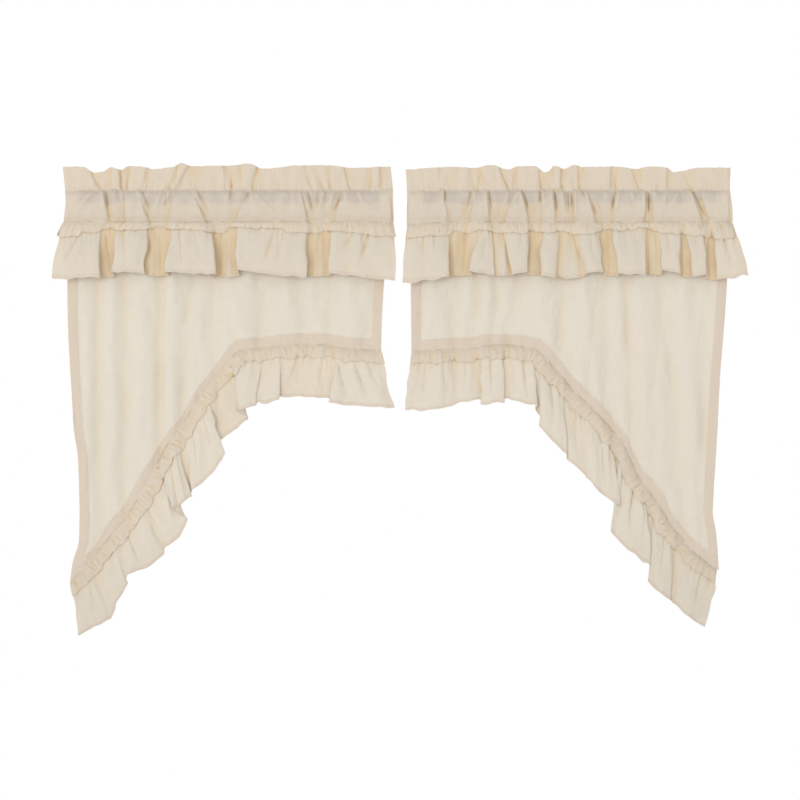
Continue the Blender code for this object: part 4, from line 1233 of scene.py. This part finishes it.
PHOTO_WIDTH = 800.0  # pixels
MM_PER_PIXEL = 1.95
MIDDLE_PIXEL = (400.0, 400.0)
TOP_EDGE_PIXEL = 167.0
CAMERA_AWAY = 4.0
SENSOR = 36.0
FLOOR_DOWN = 1.6
FLOOR_SIDE = 3.5
# The surround by direction: it is dimmer on the room side and overhead than behind the pair
SURROUND = {"Y": (-0.4, 0.3, 1.0, 1.0), "Z": (0.25, 0.9, 1.0, 0.55)}
SOFT_BOX_SIZE = (8.0, 6.0)
SOFT_BOX_WATTS = 720.0
SOFT_BOX_PLACE = (-6.0, -13.0, 0.2)
SOFT_BOX_AIM = (0.0, 0.0, -0.4)


def camera():
    """Square on to the pair, at the level of the photograph's middle."""
    data = bpy.data.cameras.new("camera")
    data.sensor_width = SENSOR
    data.lens = SENSOR * CAMERA_AWAY / (PHOTO_WIDTH * MM_PER_PIXEL * MM)
    lens = bpy.data.objects.new("camera", data)
    lens.location = (0.0, -CAMERA_AWAY, -(MIDDLE_PIXEL[1] - TOP_EDGE_PIXEL) * MM_PER_PIXEL * MM)
    lens.rotation_euler = (radians(90), 0.0, 0.0)
    bpy.context.collection.objects.link(lens)
    bpy.context.scene.camera = lens


def studio():
    """A white surround, dimmer on the room side, a broad soft light from the left, and a pale floor below."""
    world = bpy.data.worlds.new("studio")
    world.use_nodes = True
    nodes, links = world.node_tree.nodes, world.node_tree.links
    towards = nodes.new("ShaderNodeTexCoord")
    parts = nodes.new("ShaderNodeSeparateXYZ")
    links.new(towards.outputs["Generated"], parts.inputs["Vector"])
    both = nodes.new("ShaderNodeMath")
    both.operation = "MULTIPLY"
    for which, (axis, values) in enumerate(SURROUND.items()):
        bright = nodes.new("ShaderNodeMapRange")
        for socket, value in zip(("From Min", "From Max", "To Min", "To Max"), values):
            bright.inputs[socket].default_value = value
        links.new(parts.outputs[axis], bright.inputs["Value"])
        links.new(bright.outputs["Result"], both.inputs[which])
    nodes["Background"].inputs["Color"].default_value = (1.0, 1.0, 1.0, 1.0)
    links.new(both.outputs["Value"], nodes["Background"].inputs["Strength"])
    bpy.context.scene.world = world
    bpy.context.scene.view_settings.view_transform = "Standard"
    data = bpy.data.lights.new("soft_box", "AREA")
    data.shape = "RECTANGLE"
    data.size, data.size_y = SOFT_BOX_SIZE
    data.energy = SOFT_BOX_WATTS
    box = bpy.data.objects.new("soft_box", data)
    box.location = SOFT_BOX_PLACE
    aim = Vector(SOFT_BOX_AIM) - Vector(SOFT_BOX_PLACE)
    box.rotation_euler = aim.to_track_quat("-Z", "Y").to_euler()
    bpy.context.collection.objects.link(box)
    mesh = bpy.data.meshes.new("floor")
    half = FLOOR_SIDE / 2
    corners = ((-half, -half), (half, -half), (half, half), (-half, half))
    mesh.from_pydata([(x, y, -FLOOR_DOWN) for x, y in corners], [], [(0, 1, 2, 3)])
    floor = bpy.data.objects.new("floor", mesh)
    bpy.context.collection.objects.link(floor)
    paint = bpy.data.materials.new("floor_paint")
    paint.use_nodes = True
    paint.node_tree.nodes["Principled BSDF"].inputs["Base Color"].default_value = (0.86, 0.86, 0.85, 1.0)
    paint.node_tree.nodes["Principled BSDF"].inputs["Roughness"].default_value = 0.9
    mesh.materials.append(paint)


def dress(piece, material, node=None):
    """Puts a finish on a piece, and lets it stand for its CAD node if it has one."""
    piece.data.materials.append(material)
    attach(piece, "root")
    if node:
        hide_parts(node)


def main():
    camera()
    studio()
    # Each finish's second tone, for two layers, is darker: painted shade for the light from behind that two
    # layers let less of through
    panel_muslin = muslin("panel_muslin", (0.803, 0.751, 0.66), (0.76, 0.67, 0.565), 0.30)
    heading_muslin = muslin("heading_muslin", (0.79, 0.71, 0.59), (0.785, 0.69, 0.565), 0.25)
    ruffle_muslin = muslin("ruffle_muslin", (0.79, 0.72, 0.61), (0.765, 0.68, 0.575), 0.28)
    swag_muslin = muslin("swag_muslin", (0.797, 0.736, 0.636), (0.765, 0.68, 0.575), 0.28)
    frill_muslin = muslin("frill_muslin", (0.79, 0.71, 0.595), (0.765, 0.68, 0.565), 0.25)
    thread = sewing_thread()
    one_stitch = model_stitch()
    for side in (LEFT, RIGHT):
        name = side.name
        heading, outer, stitch_row = heading_pocket(side)
        dress(heading, heading_muslin, name + "_heading_pocket")
        panel, front, normal, edges = swag_panel(side)
        dress(panel, panel_muslin, name + "_swag_panel")
        wide, narrow = valance(side)
        dress(wide[0], ruffle_muslin, name + "_valance_ruffle")
        dress(narrow, frill_muslin, name + "_valance_frill")
        swag_wide, swag_narrow = swag_ruffles(side)
        dress(swag_wide[0], swag_muslin, name + "_swag_ruffle")
        dress(swag_narrow, frill_muslin, name + "_swag_frill")
        sewn = {
            "muslin_heading": heading_stitches(side, one_stitch, outer, stitch_row),
            "muslin_panel": panel_stitches(side, one_stitch, front, normal, edges),
        }
        hems = [hem_stitches(name + "_valance_stitches", one_stitch, wide)]
        hems.append(hem_stitches(name + "_swag_stitches", one_stitch, swag_wide))
        for slot, piece in [*sewn.items(), ("muslin_ruffle", hems[0]), ("muslin_ruffle", hems[1])]:
            dress(piece, thread)


main()
